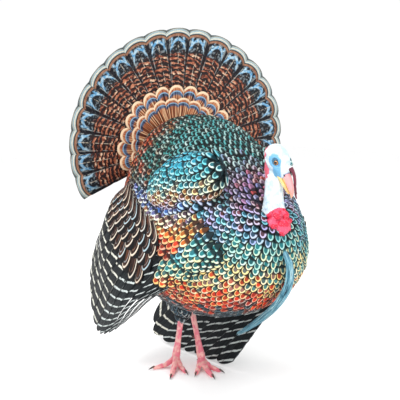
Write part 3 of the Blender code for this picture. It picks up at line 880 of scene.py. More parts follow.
def beardFinish():
    m = Finish("beardBristle")
    along, seed = m.values("along", "seed")
    streak = m.streaks(seed * 60.0, along * 6.0, 0.0, 1.0, 3.0)
    # the darkest stops are the bristles' own dark colour; the blue and pale cyan streaks along them are
    # painted highlights
    colour = streak.ramp((0.28, "14303e"), (0.42, "3a7890"), (0.54, "79b4c6"), (0.68, "c2dfe2"))
    ribs = m.bump(streak, 0.0003, 0.3)
    return m.surface(baseColor=colour, roughness=0.42, metallic=along * 0.1, normal=ribs)


finishes = {
    "coat": coatFinish(),
    "tail": tailFinish(),
    "covert": tailCovertFinish(),
    "primary": flightFinish("primaryFeather", "d3dcda", "0b1013", 0.034, 0.85, 0.12),
    "secondary": flightFinish("secondaryFeather", "dcdccf", "111316", 0.031, 0.90, 0.16),
    "greater": largeCovertFinish(),
    "skin": skinFinish(),
    "bill": hornFinish(),
    "claw": clawFinish(),
    "eye": eyeFinish(),
    "beard": beardFinish(),
}
print("finishes made:", len(finishes))


# The skin: one closed body under the coat, with the bare head, neck and legs

skinCare = {
    "bodyVoxel": 0.007,
    "headVoxel": 0.00115,
    "legVoxel": 0.0014,
    "bumps": 230,  # small warts on the bare head and neck
    "lobes": 60,  # knobs of the caruncles
    "bareLeg": 0.21,  # the legs are bare below this height
    "downGap": 0.018,  # skin further than this from any feather's root is dark, as under the wings
}
lids = {
    "opening": (0.0080, 0.0064),  # half its length and height
    "slant": 0.22,
    "socket": 0.0022,  # how far the skin lies behind the eye's surface inside the opening
    "clear": 0.0004,
    "rim": 0.0012,
    "furrow": 0.0008,
}
ear = {"at": (0.0195, -0.0175, -0.0035), "deep": 0.0032, "ring": 0.0056, "rim": 0.0007}
neckPath = (  # x, y, z, half width, half depth
    (0.017, -0.307, 0.614, 0.013, 0.013),
    (0.018, -0.302, 0.597, 0.0215, 0.0222),
    (0.019, -0.302, 0.560, 0.0205, 0.0222),
    (0.012, -0.309, 0.520, 0.0222, 0.0242),
    (0.004, -0.316, 0.484, 0.0268, 0.0286),
    (0.002, -0.320, 0.465, 0.0200, 0.0200),
)
headRings = (  # along the bill's axis, height of the middle, half width, half height
    (-0.039, 0.000, 0.000, 0.000),
    (-0.036, 0.000, 0.0132, 0.0148),
    (-0.024, 0.001, 0.0225, 0.0248),
    (-0.006, 0.001, 0.0263, 0.0292),
    (0.011, 0.000, 0.0248, 0.0278),
    (0.025, -0.002, 0.0195, 0.0222),
    (0.036, -0.004, 0.0142, 0.0166),
    (0.042, -0.005, 0.0098, 0.0120),
    (0.043, -0.005, 0.000, 0.000),
)
snoodPath = (  # in the head's frame: x, y, z, radius
    (0.001, 0.027, 0.0185, 0.0058),
    (0.005, 0.037, 0.0180, 0.0052),
    (0.013, 0.051, 0.0110, 0.0044),
    (0.0154, 0.067, 0.0010, 0.0038),
    (0.0138, 0.085, -0.0080, 0.0034),
    (0.0120, 0.100, -0.0125, 0.0022),
)
lobes = (  # caruncles at the neck's root: x, y, z, radii across, deep, tall
    (0.000, -0.350, 0.458, 0.0190, 0.0150, 0.0200),
    (-0.0215, -0.337, 0.464, 0.0140, 0.0130, 0.0165),
    (0.0215, -0.337, 0.464, 0.0140, 0.0130, 0.0165),
    (-0.009, -0.338, 0.484, 0.0125, 0.0120, 0.0130),
    (0.011, -0.339, 0.482, 0.0125, 0.0120, 0.0130),
)
headBlobs = (  # in the head's frame, one side: out, along, up, radii
    (0.0125, 0.010, 0.0165, 0.0065, 0.0120, 0.0050),  # brow
    (0.0130, -0.006, -0.0120, 0.0100, 0.0170, 0.0110),  # cheek
    (0.0060, 0.030, -0.0100, 0.0060, 0.0110, 0.0070),  # gape
    (0.0095, 0.032, 0.0010, 0.0040, 0.0060, 0.0060),  # lore
)
headMarks = {  # where the colours of the bare head lie; pairs are the distances at which one starts and ends
    "eyeOffset": (0.004, -0.002, -0.001),
    "eyePatch": (0.0075, 0.0185),
    "gape": (0.010, 0.029, -0.010),  # the corner of the bill, to which the blue runs down from the lids
    "gapeBand": (0.006, 0.0145),
    "nape": (0.006, 0.024),
    "napeHeight": (0.53, 0.58),
    "throat": 0.520,
    "wattleAt": (0.0, -0.345, 0.468),
    "wattleRadii": (0.042, 0.034, 0.034),
    "wattle": (0.85, 1.12),
    "snood": (0.0058, 0.0075),
}


def headSurface(share, turn):
    rows = curveAt(headRings, share)
    wide, tall = np.maximum(rows[..., 2], 0), np.maximum(rows[..., 3], 0)
    flat = np.stack((wide * np.cos(turn), rows[..., 0], rows[..., 1] + tall * np.sin(turn)), -1)
    return moved(flat, headPlace)


def remeshed(name, meshes, voxel, rounds):  # one closed skin round all the meshes, softened
    made = objectFrom(name, joinMeshes(name, meshes))
    modifier = made.modifiers.new("remesh", "REMESH")
    modifier.mode, modifier.voxel_size = "VOXEL", voxel
    soft = made.modifiers.new("soften", "SMOOTH")
    soft.iterations, soft.factor = rounds, 0.5
    return settled(name, made)


def normalRows(mesh):
    row = np.zeros(len(mesh.vertices) * 3, np.float32)
    mesh.vertices.foreach_get("normal", row)
    return row.reshape(-1, 3).astype(float)


def bumpHeights(points, centres, radii, heights):  # the tallest of many round bumps at each point
    rise = np.zeros(len(points))
    for centre, radius, height in zip(centres, radii, heights):
        gap = np.linalg.norm(points - centre, axis=1) / radius
        near = gap < 1
        rise[near] = np.maximum(rise[near], height * np.sqrt(1 - gap[near] ** 2))
    return rise


def headValues(points):  # where on the head and neck each point is, for its finish
    local = moved(points, headPlace.inverted())
    mirrored = np.column_stack((np.abs(local[:, 0]), local[:, 1:]))
    eye = np.array(head["eye"])
    away = mirrored - (eye + np.array(headMarks["eyeOffset"]))
    away[:, 1] /= np.where(away[:, 1] < 0, 1.35, 0.95)  # the patch reaches further behind the eye
    eyeNear = 1 - smooth(np.linalg.norm(away, axis=1), *headMarks["eyePatch"])
    toGape = np.array(headMarks["gape"]) - eye
    along = np.clip((mirrored - eye) @ toGape / (toGape @ toGape), 0, 1)
    band = np.linalg.norm(mirrored - eye - along[:, None] * toGape, axis=1)
    eyeNear = np.maximum(eyeNear, 0.9 * (1 - smooth(band, *headMarks["gapeBand"])))
    behind = -0.50 * local[:, 1] - 0.87 * local[:, 2]
    nape = smooth(behind, *headMarks["nape"]) * smooth(points[:, 2], *headMarks["napeHeight"]) * 0.80
    low = smooth(headMarks["throat"] - points[:, 2], 0.0, 0.045) * 0.75
    front = (points - np.array(headMarks["wattleAt"])) / np.array(headMarks["wattleRadii"])
    wattle = 1 - smooth(np.linalg.norm(front, axis=1), *headMarks["wattle"])
    line = curveAt(snoodPath, np.linspace(0, 1, 40))[:, :3] * np.array((-1, 1, 1))
    near, ahead = np.ones(len(local)), np.where((np.abs(local).max(1) < 0.13) & (local[:, 1] > 0.02))[0]
    near[ahead] = np.min(np.linalg.norm(local[ahead, None] - line[None], axis=2), axis=1)
    drape = (1 - smooth(near, *headMarks["snood"])) * smooth(local[:, 1], 0.028, 0.036)
    return {"eyeNear": eyeNear, "nape": nape, "low": low, "wattle": wattle, "snood": drape}


def shapeHead(mesh):  # sockets, lids, ear, wrinkles and small caruncles
    points, normals = pointsOf(mesh), normalRows(mesh)
    local = moved(points, headPlace.inverted())
    radius = head["eyeRadius"]
    for sign in (-1, 1):
        mirror = np.array((sign, 1, 1))
        away = local - np.array(head["eye"]) * mirror
        reach = np.linalg.norm(away, axis=1)
        forward, up = away[:, 1] + away[:, 2] * lids["slant"], away[:, 2] - away[:, 1] * lids["slant"]
        ring = np.sqrt((forward / lids["opening"][0]) ** 2 + (up / lids["opening"][1]) ** 2)
        outer = smooth(away[:, 0] * sign, -0.002, 0.002) * (reach < 0.022)
        inside = ring < 0.92
        lidRise = np.exp(-((ring - 1.10) / 0.20) ** 2)
        wanted = np.where(inside, radius - lids["socket"], radius + lids["clear"] + lids["rim"] * lidRise)
        share = np.where(inside, 1.0, 1 - smooth(ring, 1.25, 1.95)) * outer
        local += away / np.maximum(reach, 1e-9)[:, None] * ((wanted - reach) * share)[:, None]
        furrow = np.exp(-((ring - 1.62) / 0.13) ** 2) + 0.7 * np.exp(-((ring - 2.15) / 0.13) ** 2)
        local += (normals @ np.array(headPlace)[:3, :3]) * (-lids["furrow"] * furrow * outer)[:, None]
        middle = np.array(ear["at"]) * mirror
        hole = 1 - smooth(np.linalg.norm((local - middle) / np.array((1, 1.0, 1.3)), axis=1), 0.0018, 0.0042)
        local[:, 0] -= sign * ear["deep"] * hole
        rim = np.exp(-((np.linalg.norm(local - middle, axis=1) - ear["ring"]) / 0.0012) ** 2)
        local[:, 0] += sign * ear["rim"] * rim
    points = moved(local, headPlace)
    values = headValues(points)
    count = skinCare["bumps"]
    pick = chance.choice(len(points), count * 9, replace=False)
    low = smooth(0.575 - points[pick, 2], 0.0, 0.10) + 0.5 * (values["nape"][pick] > 0.3)
    pick = pick[chance.random(len(pick)) < low * 0.35 + 0.015][:count]
    radii = 0.0016 + 0.0026 * smooth(0.56 - points[pick, 2], 0, 0.08) * chance.random(len(pick))
    rise = bumpHeights(points, points[pick], radii, radii * 0.62)
    lobeSpots = np.where(values["wattle"] > 0.6)[0]
    lobeSpots = chance.choice(lobeSpots, min(skinCare["lobes"], len(lobeSpots)), replace=False)
    lobeRadii = 0.0034 + 0.0040 * chance.random(len(lobeSpots))
    knobs = bumpHeights(points, points[lobeSpots], lobeRadii, lobeRadii * 0.42)
    knobs *= smooth(values["wattle"], 0.4, 0.8)
    folds = 0.00035 * np.sin(points[:, 0] * 900 + 3 * np.sin(points[:, 2] * 160))
    folds *= smooth(0.585 - points[:, 2], 0, 0.03)
    setPoints(mesh, points + normals * (rise + knobs + folds - 0.0006)[:, None])
    addValues(mesh, {"knob": np.clip(knobs / 0.0016, 0, 1), "bare": np.ones(len(points))})


def legValues(points):  # 1 in the middle of each scale and 0 in the grooves, and how much leg this is
    grid, groove = np.full(len(points), 9.0), np.ones(len(points))
    for side in legs:
        lines = [(curveAt(shankRows(side), np.linspace(0, 1, 50)), np.array((1.0, 0, 0)), True)]
        for toe in toes:
            _, aside, rows = toeLine(side, toe)
            lines.append((curveAt(rows, np.linspace(0, 1, 40)), aside, False))
        for rows, aside, shank in lines:
            path = rows[:, :3]
            gaps = np.linalg.norm(points[:, None] - path[None], axis=2)
            nearest = np.argmin(gaps, axis=1)
            gap = gaps[np.arange(len(points)), nearest] - rows[nearest, 3]
            along = unit(np.gradient(path, axis=0))[nearest]
            away = points - path[nearest]
            distance = travelled(path)[nearest] + (away * along).sum(1)
            size, offset, seam = foot["scute"], 0.0, 0.0  # plain bars across a toe
            if shank:  # six columns of scales, laid like bricks
                column = np.arctan2(-away[:, 1], away @ aside) / (2 * math.pi) * 6
                size, offset = foot["shankScute"], 0.5 * (np.floor(column) % 2)
                seam = np.abs(2 * (column % 1.0) - 1)
            row = np.abs(2 * ((distance / size + offset) % 1.0) - 1)
            here = np.clip(1 - np.maximum(row**6, seam**8), 0, 1)
            better = gap < grid
            groove[better], grid[better] = here[better], gap[better]
    return {"scute": groove, "leg": (grid < 0.006).astype(float)}


def shapeLegs(mesh):
    points, normals = pointsOf(mesh), normalRows(mesh)
    values = legValues(points)
    rise = foot["relief"] * (values["scute"] - 0.75)
    rise *= smooth(points[:, 2] - foot["floor"], 0.0005, 0.003)
    points = points + normals * rise[:, None]
    points[:, 2] = np.maximum(points[:, 2], foot["floor"])
    setPoints(mesh, points)


def bodyMeshes():
    deep = trunk["coatDepth"]
    made = [loft("trunk", inset(trunkSurface, deep), 70, 96)]
    made.append(loft("rump", ellipsoid(rump["at"], [r - 0.012 for r in rump["radii"]]), 24, 32))
    for side, wing in wings.items():
        lump = ellipsoid(shoulderAt(wing), [r - deep for r in mound["radii"]], moundPlace(wing))
        made.append(loft("mound", lump, 24, 32))
        made.append(loft("patch", patchBody(wing, deep), 20, 48))
        made.append(loft("thigh", tube(innerThigh(side)), 24, 32))
    return made


def inHead(surface):
    return lambda share, turn: moved(surface(share, turn), headPlace)


def makeSkin():  # the bare head and legs are finer, and then joined to the body
    body = remeshed("body", bodyMeshes(), skinCare["bodyVoxel"], 3)
    headParts = [loft("head", headSurface, 40, 48), loft("neck", tube(neckPath), 40, 48)]
    headParts += [loft("lobe", ellipsoid(row[:3], row[3:]), 16, 24) for row in lobes]
    for out, along, up, *radii in headBlobs:
        for sign in (-1, 1):
            headParts.append(loft("blob", inHead(ellipsoid((out * sign, along, up), radii)), 14, 20))
    snood = [(*(headPlace @ Vector((-x, y, z))), r, r) for x, y, z, r in snoodPath]
    headParts.append(loft("snood", tube(snood), 40, 16))
    headMesh = remeshed("head", headParts, skinCare["headVoxel"], 6)
    shapeHead(headMesh)
    legParts = []
    for side in legs:
        legParts.append(loft("shank", tube(shankRows(side)), 60, 24))
        for toe in toes:
            _, aside, rows = toeLine(side, toe)
            legParts.append(loft("toe", tube(rows, aside, 0.12), 40, 20))
    legMesh = remeshed("legs", legParts, skinCare["legVoxel"], 2)
    shapeLegs(legMesh)
    made = objectFrom("skin", body)
    for other in (headMesh, legMesh):
        cutter = objectFrom("other", other)
        modifier = made.modifiers.new("join", "BOOLEAN")
        modifier.operation, modifier.object, modifier.solver = "UNION", cutter, "MANIFOLD"
        mesh = settled("skin", made)
        bpy.data.objects.remove(cutter)
        made = objectFrom("skin", mesh)
    return made


skin = makeSkin()
print("skin:", len(skin.data.polygons), "faces")


# Feathers: vanes, and the Geometry Nodes tree that lays them

def vane(surface, columns, rows, thick, ridge=0.0):  # a thin closed plate about surface(across, along)
    a, v = np.meshgrid(np.asarray(columns, float), np.asarray(rows, float))
    middle = surface(a, v)
    aside, ahead = np.gradient(middle, axis=1), np.gradient(middle, axis=0)
    normal = unit(np.cross(aside, ahead))
    half = (thick * (1 - 0.5 * a**2) + ridge * np.exp(-((a / 0.05) ** 2)) * (1 - 0.75 * v))[..., None] / 2
    top, low = middle + normal * half, middle - normal * half
    count, width = v.shape
    index = np.arange(count * width).reshape(count, width)
    inner = np.zeros((count, width), bool)
    inner[1:-1, 1:-1] = True
    under = index.copy()
    under[inner] = count * width + np.arange(inner.sum())
    top[~inner] = middle[~inner]
    verts = np.vstack((top.reshape(-1, 3), low[inner]))
    faces = []
    for i in range(count - 1):
        for j in range(width - 1):
            faces.append((index[i, j], index[i, j + 1], index[i + 1, j + 1], index[i + 1, j]))
            faces.append((under[i, j], under[i + 1, j], under[i + 1, j + 1], under[i, j + 1]))
    across, along = np.append(a.ravel(), a[inner]), np.append(v.ravel(), v[inner])
    return verts, [tuple(int(k) for k in face) for face in faces], across, along


stripHalf = 0.45  # half the width of a long feather's strip on the unwrap, in strips


def within(share):  # keeps clear of the unwrap's edges
    return 0.02 + 0.96 * share


def vaneMesh(name, parts):  # parts: each a vane with its seed and length
    verts, faces, values, spots = [], [], {"across": [], "along": [], "seed": [], "span": []}, []
    start = 0
    for index, (shape, seed, length) in enumerate(parts):
        points, polygons, across, along = shape
        verts.append(points)
        faces += [tuple(k + start for k in face) for face in polygons]
        start += len(points)
        for key, column in zip(values, (across, along, np.full(len(points), seed), along * length)):
            values[key].append(column)
        spots.append(np.stack(((index + 0.5 + stripHalf * across) / len(parts), within(along)), -1))
    values = {key: np.concatenate(value) for key, value in values.items()}
    mesh = meshFrom(name, np.vstack(verts), faces, values)
    crisp(mesh)
    layUnwrap(mesh, np.vstack(spots))
    return mesh


def layUnwrap(mesh, spots):  # where on the unwrap each point's corners lie
    layer = mesh.uv_layers.new(name="OFBake")
    corner = np.zeros(len(mesh.loops), np.int32)
    mesh.loops.foreach_get("vertex_index", corner)
    layer.uv.foreach_set("vector", np.asarray(spots, np.float32)[corner].ravel())


coat = {
    "gap": 0.0122,  # between rows
    "width": 0.0158,  # between the feathers of a row
    "reach": 2.35,  # a feather's length, in rows
    "ruffle": 0.07,
    "patch": 0.003,  # a feather's size on the unwrap
    "rump": (0.0125, 0.017, 0.30, 0.97),  # gap and width there, and where the rows start and end
    "thigh": (0.0115, 0.0145, 0.06, 0.95),
}
tracts = {"body": 0.0, "shoulder": 1.0, "wing": 2.0, "down": 3.0}  # which of the markings a feather has
vaneLooks = (  # how blunt, how curled, how ragged, seed
    (0.17, 0.10, 0.02, 52),  # broad
    (0.22, 0.13, 0.03, 71),  # rounder
    (0.27, 0.11, 0.03, 69),  # longer
    (0.30, 0.02, 0.16, 65),  # downy
)


def bodyVane(blunt, curl, ragged, seed):  # one unit long and wide
    columns, rows = np.linspace(-1, 1, 5), np.linspace(0, 1, 6) ** 0.9
    nicks = 1 - ragged * np.random.default_rng(seed).random((len(rows), len(columns)))

    def surface(a, v):
        wide = 0.30 + 0.70 * smooth(v, 0.0, 0.55) - 0.16 * smooth(v, 0.75, 1.0)
        along = v * (1 - blunt * np.abs(a) ** 2.3) * np.where(v > 0.9, nicks, 1)
        rise = 0.20 * v + 0.04 * np.sin(math.pi * v) - curl * v**3 - 0.045 * a**2 * (0.3 + 0.7 * v)
        return np.stack((0.5 * a * wide, along, rise), -1)

    verts, faces, across, along = vane(surface, columns, rows, 0.045)
    mesh = meshFrom("vane", verts, faces, {"across": across, "along": along})
    crisp(mesh)
    return mesh


def vaneKit(name, meshes):  # the vanes that a tree picks from
    kit = bpy.data.collections.new(name)
    bpy.context.scene.collection.children.link(kit)
    for index, mesh in enumerate(meshes):
        kit.objects.link(bpy.data.objects.new(f"{name}{index}", mesh))
    return kit


def startTree(name, inputs):  # a Geometry Nodes group: each input has its kind of socket and its first value
    group = bpy.data.node_groups.new(name, "GeometryNodeTree")
    inputs = {"Geometry": ("Geometry", None), **inputs, "Finish": ("Material", None)}
    for key, (kind, value) in inputs.items():
        made = group.interface.new_socket(key, in_out="INPUT", socket_type="NodeSocket" + kind)
        if value is not None:
            made.default_value = value
    group.interface.new_socket("Geometry", in_out="OUTPUT", socket_type="NodeSocketGeometry")
    tree = Tree(group)
    return tree, {socket.name: Wire(tree, socket) for socket in group.nodes.new("NodeGroupInput").outputs}


def endTree(tree, shape, finish):
    real = tree.node("GeometryNodeRealizeInstances", None, {0: shape})
    done = tree.node("GeometryNodeSetMaterial", None, {"Geometry": real, "Material": finish})
    tree.nodes.links.new(done.socket, tree.nodes.nodes.new("NodeGroupOutput").inputs[0])
    return tree.nodes


def featherTree():
    sizes = {"Width": ("Float", 1.0), "Length": ("Float", 1.0), "Ruffle": ("Float", 0.05)}
    t, given = startTree("layFeathers", {**sizes, "Seed": ("Int", 3), "Kit": ("Collection", None)})
    named = "GeometryNodeInputNamedAttribute"
    turn = t.node(named, {"data_type": "FLOAT_VECTOR"}, {"Name": "turn"})
    size = t.node(named, {"data_type": "FLOAT_VECTOR"}, {"Name": "size"})
    kind = t.node(named, {"data_type": "INT"}, {"Name": "kind"})
    ends = {"Min": (-1, -1, -1), "Max": (1, 1, 1), "Seed": given["Seed"]}
    shake = t.node("FunctionNodeRandomValue", {"data_type": "FLOAT_VECTOR"}, ends)
    shake = t.node("ShaderNodeVectorMath", {"operation": "SCALE"}, {0: shake, 3: given["Ruffle"]})
    turn, shake = [t.node("FunctionNodeEulerToRotation", None, {0: angles}) for angles in (turn, shake)]
    turn = t.node("FunctionNodeRotateRotation", {"rotation_space": "LOCAL"}, {0: turn, 1: shake})
    width, length = given["Width"], given["Length"]
    stretch = t.node("ShaderNodeCombineXYZ", None, {0: width, 1: length, 2: length})
    size = t.node("ShaderNodeVectorMath", {"operation": "MULTIPLY"}, {0: size, 1: stretch})
    kit = t.node("GeometryNodeCollectionInfo", None, {0: given["Kit"], 1: True, 2: True})
    picked = {"Instance": kit, "Pick Instance": True, "Instance Index": kind}
    laid = {"Points": given["Geometry"], **picked, "Rotation": turn, "Scale": size}
    return endTree(t, t.node("GeometryNodeInstanceOnPoints", None, laid), given["Finish"])


def runTree(name, made, group, inputs):  # the plain mesh that the tree leaves on an object
    modifier = made.modifiers.new("tree", "NODES")
    modifier.node_group = group
    names = {item.name: item.identifier for item in group.interface.items_tree if item.in_out == "INPUT"}
    for key, value in inputs.items():
        modifier[names[key]] = value
    return settled(name, made)


def eulerRows(across, ahead, normal):  # the turns that lay a vane's own directions along these
    tip, lean = np.arctan2(ahead[:, 2], normal[:, 2]), -np.arcsin(np.clip(across[:, 2], -1, 1))
    return np.stack((tip, lean, np.arctan2(across[:, 1], across[:, 0])), -1)


layFeathers = featherTree()
bodyKit = vaneKit("bodyVane", [bodyVane(*look) for look in vaneLooks])


def layPiece(name, spots, kit, finish, ruffle, seed):  # spots has a row of values for each feather
    mesh = meshFrom(name, spots["root"], [], {key: value for key, value in spots.items() if key != "kind"})
    kind = mesh.attributes.new("kind", "INT", "POINT")
    kind.data.foreach_set("value", np.asarray(spots["kind"], np.int32))
    points = objectFrom(name + "Points", mesh)
    inputs = {"Width": 1.0, "Length": 1.0, "Ruffle": ruffle, "Seed": seed, "Kit": kit}
    inputs["Finish"] = finishes[finish]
    made = runTree(name, points, layFeathers, inputs)
    unwrap, across, along = pointsOf(made, "unwrap"), pointsOf(made, "across"), pointsOf(made, "along")
    if "wide" in spots:  # long feathers have their own place on the unwrap
        place = np.stack((unwrap[:, 0] + across * pointsOf(made, "wide"), within(along)), -1)
    else:
        place = unwrap[:, :2] + np.stack((across, along * 2 - 1), -1) * coat["patch"] / 2
    for key in ("turn", "size", "kind", "unwrap", "wide"):
        if key in made.attributes:
            made.attributes.remove(made.attributes[key])
    layUnwrap(made, place)
    print(name, len(spots["root"]), "feathers,", len(made.polygons) * 2, "triangles")
    return objectFrom(name, made)


def nodeShape(name):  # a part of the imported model, for finding what lies inside it
    data = frame["nodes"][name].data
    verts = [v.co - shift for v in data.vertices]
    return BVHTree.FromPolygons(verts, [tuple(p.vertices) for p in data.polygons])


def depthIn(shape, points):  # how deep inside the shape each point is, below 0 outside
    ray, deep = Vector((0.13, 0.31, 0.94)).normalized(), []
    for point in points:
        gap = shape.find_nearest(Vector(point))[3]
        crossed, start = 0, Vector(point)
        while gap < 0.05 and crossed < 20:
            hit = shape.ray_cast(start, ray)[0]
            if hit is None:
                break
            crossed, start = crossed + 1, hit + ray * 1e-5
        deep.append(gap if crossed % 2 else -gap)
    return np.array(deep)


def rowsOfFeathers(surface, gap, width, start=0.0, end=1.0, first=-math.pi / 2, sweep=2 * math.pi):
    # roots gap apart along share and about width apart along turn, each row shifted by half a feather
    fine, steps = np.linspace(start, end, 500), []
    for q in np.linspace(0.06, 0.94, 9):
        line = surface(fine, np.full(500, first + sweep * q))
        steps.append(np.linalg.norm(np.diff(line, axis=0), axis=1))
    length = np.concatenate(([0], np.cumsum(np.mean(steps, axis=0))))
    rows = int(length[-1] / gap)
    shares = np.interp((np.arange(rows + 1) + 0.5) * gap, length, fine)
    turns, closed = first + np.linspace(0, sweep, 361), sweep > 6
    found = {key: [] for key in ("share", "turn", "next", "wide")}
    for row in range(rows):
        around = travelled(surface(np.full(361, shares[row]), turns))
        count = max(int(round(around[-1] / width)), 4)
        at = (np.arange(count) + 0.5 * (row % 2) + (0 if closed else 0.25)) / count * around[-1]
        found["turn"].append(np.interp(at, around, turns))
        found["share"].append(np.full(count, shares[row]))
        found["next"].append(np.full(count, shares[row + 1]))
        found["wide"].append(np.full(count, around[-1] / count))
    found = {key: np.concatenate(value) for key, value in found.items()}
    share, turn = found["share"], found["turn"]
    root = surface(share, turn)
    long = np.linalg.norm(surface(found["next"], turn) - root, axis=1)
    ahead, normal = normalsOf(surface, share, turn)
    if closed:
        normal = normal * outward(surface, start + 0.05, end - 0.05)
    across = unit(np.cross(ahead, normal))
    normal = unit(np.cross(across, ahead))
    return {**found, "root": root, "long": long, "across": across, "ahead": ahead, "normal": normal}


def spotsFrom(
    rows, keep, height, back, tract, unwrap, kinds=(0, 1, 2), reach=coat["reach"], lift=0.0, widen=1.42
):  # the kept roots' feathers, each a little different; kinds are places in vaneLooks
    pick = np.where(keep)[0]
    count = len(pick)
    at = {key: value[pick] for key, value in rows.items()}
    tilt = np.broadcast_to(lift, keep.shape)[pick]
    ahead = unit(at["ahead"] + at["normal"] * tilt[:, None])
    normal = unit(np.cross(at["across"], ahead))
    long = np.clip(at["long"], 0.006, 0.020) * reach
    long = long * (0.93 + 0.14 * chance.random(count))
    wide = at["wide"] * widen * (0.94 + 0.12 * chance.random(count))
    return {
        "root": at["root"],
        "turn": eulerRows(at["across"], ahead, normal),
        "size": np.stack((wide, long, long), -1),
        "kind": np.asarray(kinds)[chance.integers(0, len(kinds), count)],
        "seed": chance.random(count),
        "height": np.broadcast_to(height, keep.shape)[pick],
        "share": at["share"],
        "back": np.broadcast_to(back, keep.shape)[pick],
        "tract": np.full(count, tracts[tract]),
        "unwrap": unwrap[pick],
    }


def unwrapRows(low, high, u, v):  # a feather's place on the unwrap, in the strip from low to high
    u, v = np.clip(u, 0, 1), np.clip(v, 0, 1)
    return np.stack((low + (high - low) * within(u), within(v), 0 * u), -1)


def unwrapRound(rows, low, high):
    return unwrapRows(low, high, turnShare(rows["turn"]), rows["share"])


def joinSpots(*sets):
    return {key: np.concatenate([one[key] for one in sets]) for key in sets[0]}


def pickSpots(spots, mask):
    return {key: value[mask] for key, value in spots.items()}


shapes = {name: nodeShape(name) for name in ("trunk", "rump", "neck", "caruncles", "tail_fan")}
for side in wings:
    for part in ("coverts", "shoulder"):
        shapes[f"{part}_{side}"] = nodeShape(f"wing_{side}_{part}")
    shapes["thigh_" + side] = nodeShape(f"leg_{side}_thigh")


def heightOf(points):  # from the belly, 0, to the throat, 1
    return (points[:, 2] - 0.195 - 0.04 * (points[:, 1] + 0.28)) / 0.35


def clearOf(points, depth, *names):  # which points are less than depth inside the named parts
    return np.all([depthIn(shapes[name], points) < depth for name in names], axis=0)


def trunkSpots():
    surface = inset(trunkSurface, trunk["coatDepth"])
    rows = rowsOfFeathers(surface, coat["gap"], coat["width"], 0.006, 0.985)
    root = rows["root"]
    keep = clearOf(root, -0.002, "neck", "caruncles") & clearOf(root, 0.010, "rump")
    rise = np.zeros(len(root))  # feathers that point at a mound are lifted over its front
    for side, wing in wings.items():
        deep = depthIn(shapes["shoulder_" + side], root)
        keep &= clearOf(root, 0.008, "thigh_" + side) & clearOf(root, 0.012, "coverts_" + side)
        keep &= deep < 0.012
        towards = ((shoulderAt(wing) - root) * rows["ahead"]).sum(1) > 0.01
        rise = np.maximum(rise, smooth(deep, -0.018, -0.002) * towards)
    rows["long"] = rows["long"] * (1 + 0.35 * rise)
    rows["root"] = root + rows["normal"] * (0.004 * rise)[:, None]
    back = np.sin(rows["turn"])
    spots = spotsFrom(rows, keep, heightOf(root), back, "body", unwrapRound(rows, 0, 1), lift=0.65 * rise)
    k, s = [grid.ravel() for grid in np.meshgrid(np.linspace(0.40, 0.82, 20), np.linspace(-0.36, -0.16, 9))]
    for wing in wings.values():  # the small wing coverts' colours start on the flank, ahead of the wing
        tree = nearTree(wingSurface(wing, k, s))
        for index, point in enumerate(spots["root"]):
            _, found, gap = tree.find(Vector(point))
            if gap < 0.026:
                spots["tract"][index], spots["back"][index] = tracts["wing"], -0.5
                spots["height"][index] = smallHeight(k[found], s[found])
    fluffy = (spots["height"] < 0.12) & (spots["share"] > 0.45) & (spots["back"] < 0)
    spots["kind"] = np.where(fluffy, 3, spots["kind"])
    return spots


def moundSpots(side):
    at, place = shoulderAt(wings[side]), moundPlace(wings[side])
    surface = ellipsoid(at, [r - trunk["coatDepth"] for r in mound["radii"]], place)
    rows = rowsOfFeathers(surface, coat["gap"] * 0.93, coat["width"] * 0.93, 0.02, 0.985)
    root = rows["root"]
    keep = clearOf(root, 0.011, "trunk") & clearOf(root, 0.012, "coverts_" + side)
    local = (root - at) @ np.array(place)[:3, :3]
    height = local[:, 2] / mound["radii"][2] * 0.5 + 0.5 - 0.12 * local[:, 1] / mound["radii"][1]
    early = smooth(0.16 - rows["share"], 0.0, 0.10)  # the first rows start nearer the pole, to close it
    rows["root"] = root - rows["ahead"] * (0.010 * early)[:, None]
    rows["long"] = rows["long"] * (1 + 0.5 * early)
    low = 0.0 if side == "left" else 0.5
    return spotsFrom(rows, keep, height, 0.0, "shoulder", unwrapRound(rows, low, low + 0.5), widen=1.38)


def smallHeight(k, s):  # the small wing coverts' colours run along the wing and a little across it
    return 0.92 * (1 - k) + 0.42 * smooth(s, -0.36, -0.05) - 0.05


def patchSpots(side):  # the small wing coverts: rows from the wing's leading edge back to the larger coverts
    wing = wings[side]
    start, wrist, elbow = wing["small"]

    def onWing(share, turn):  # share runs across the wing, turn along it from the wrist to the elbow
        return 0.012 + 0.972 * turn, start + (wrist - start) * share

    def surface(share, turn):
        k, s = onWing(share, turn)
        ease = smooth(s, start, -0.10)  # the first rows climb gently from the flank
        rise = (patch["out"] - trunk["coatDepth"] * 0.9) * patchRise(k, np.maximum(s, -0.10)) * ease
        return wingSurface(wing, k, s, rise - 0.009 * (1 - ease) - 0.001)

    rows = rowsOfFeathers(surface, coat["gap"], coat["width"], 0.0, 1.0, 0.0, 1.0)
    if (rows["normal"][:, 0] * wing["side"]).mean() < 0:
        rows["normal"], rows["across"] = -rows["normal"], -rows["across"]
    root = rows["root"]
    k, s = onWing(rows["share"], rows["turn"])
    depth = depthIn(shapes["trunk"], root)
    keep = (depth < 0.010) & ((depth > -0.012) | (s > -0.20)) & clearOf(root, 0.010, "shoulder_" + side)
    keep &= s < wrist + (elbow - wrist) * smooth(k, 0.22, 0.46)
    low = 0.0 if side == "left" else 0.5
    unwrap = unwrapRows(low, low + 0.5, rows["turn"], rows["share"])
    spots = spotsFrom(rows, keep, smallHeight(k, s), -0.5, "wing", unwrap, widen=1.38)
    wrapped = k[keep] < 0.40  # here the breast's own feathers wrap the wrist
    spots["tract"] = np.where(wrapped, tracts["body"], spots["tract"])
    spots["height"] = np.where(wrapped, heightOf(spots["root"]), spots["height"])
    return spots


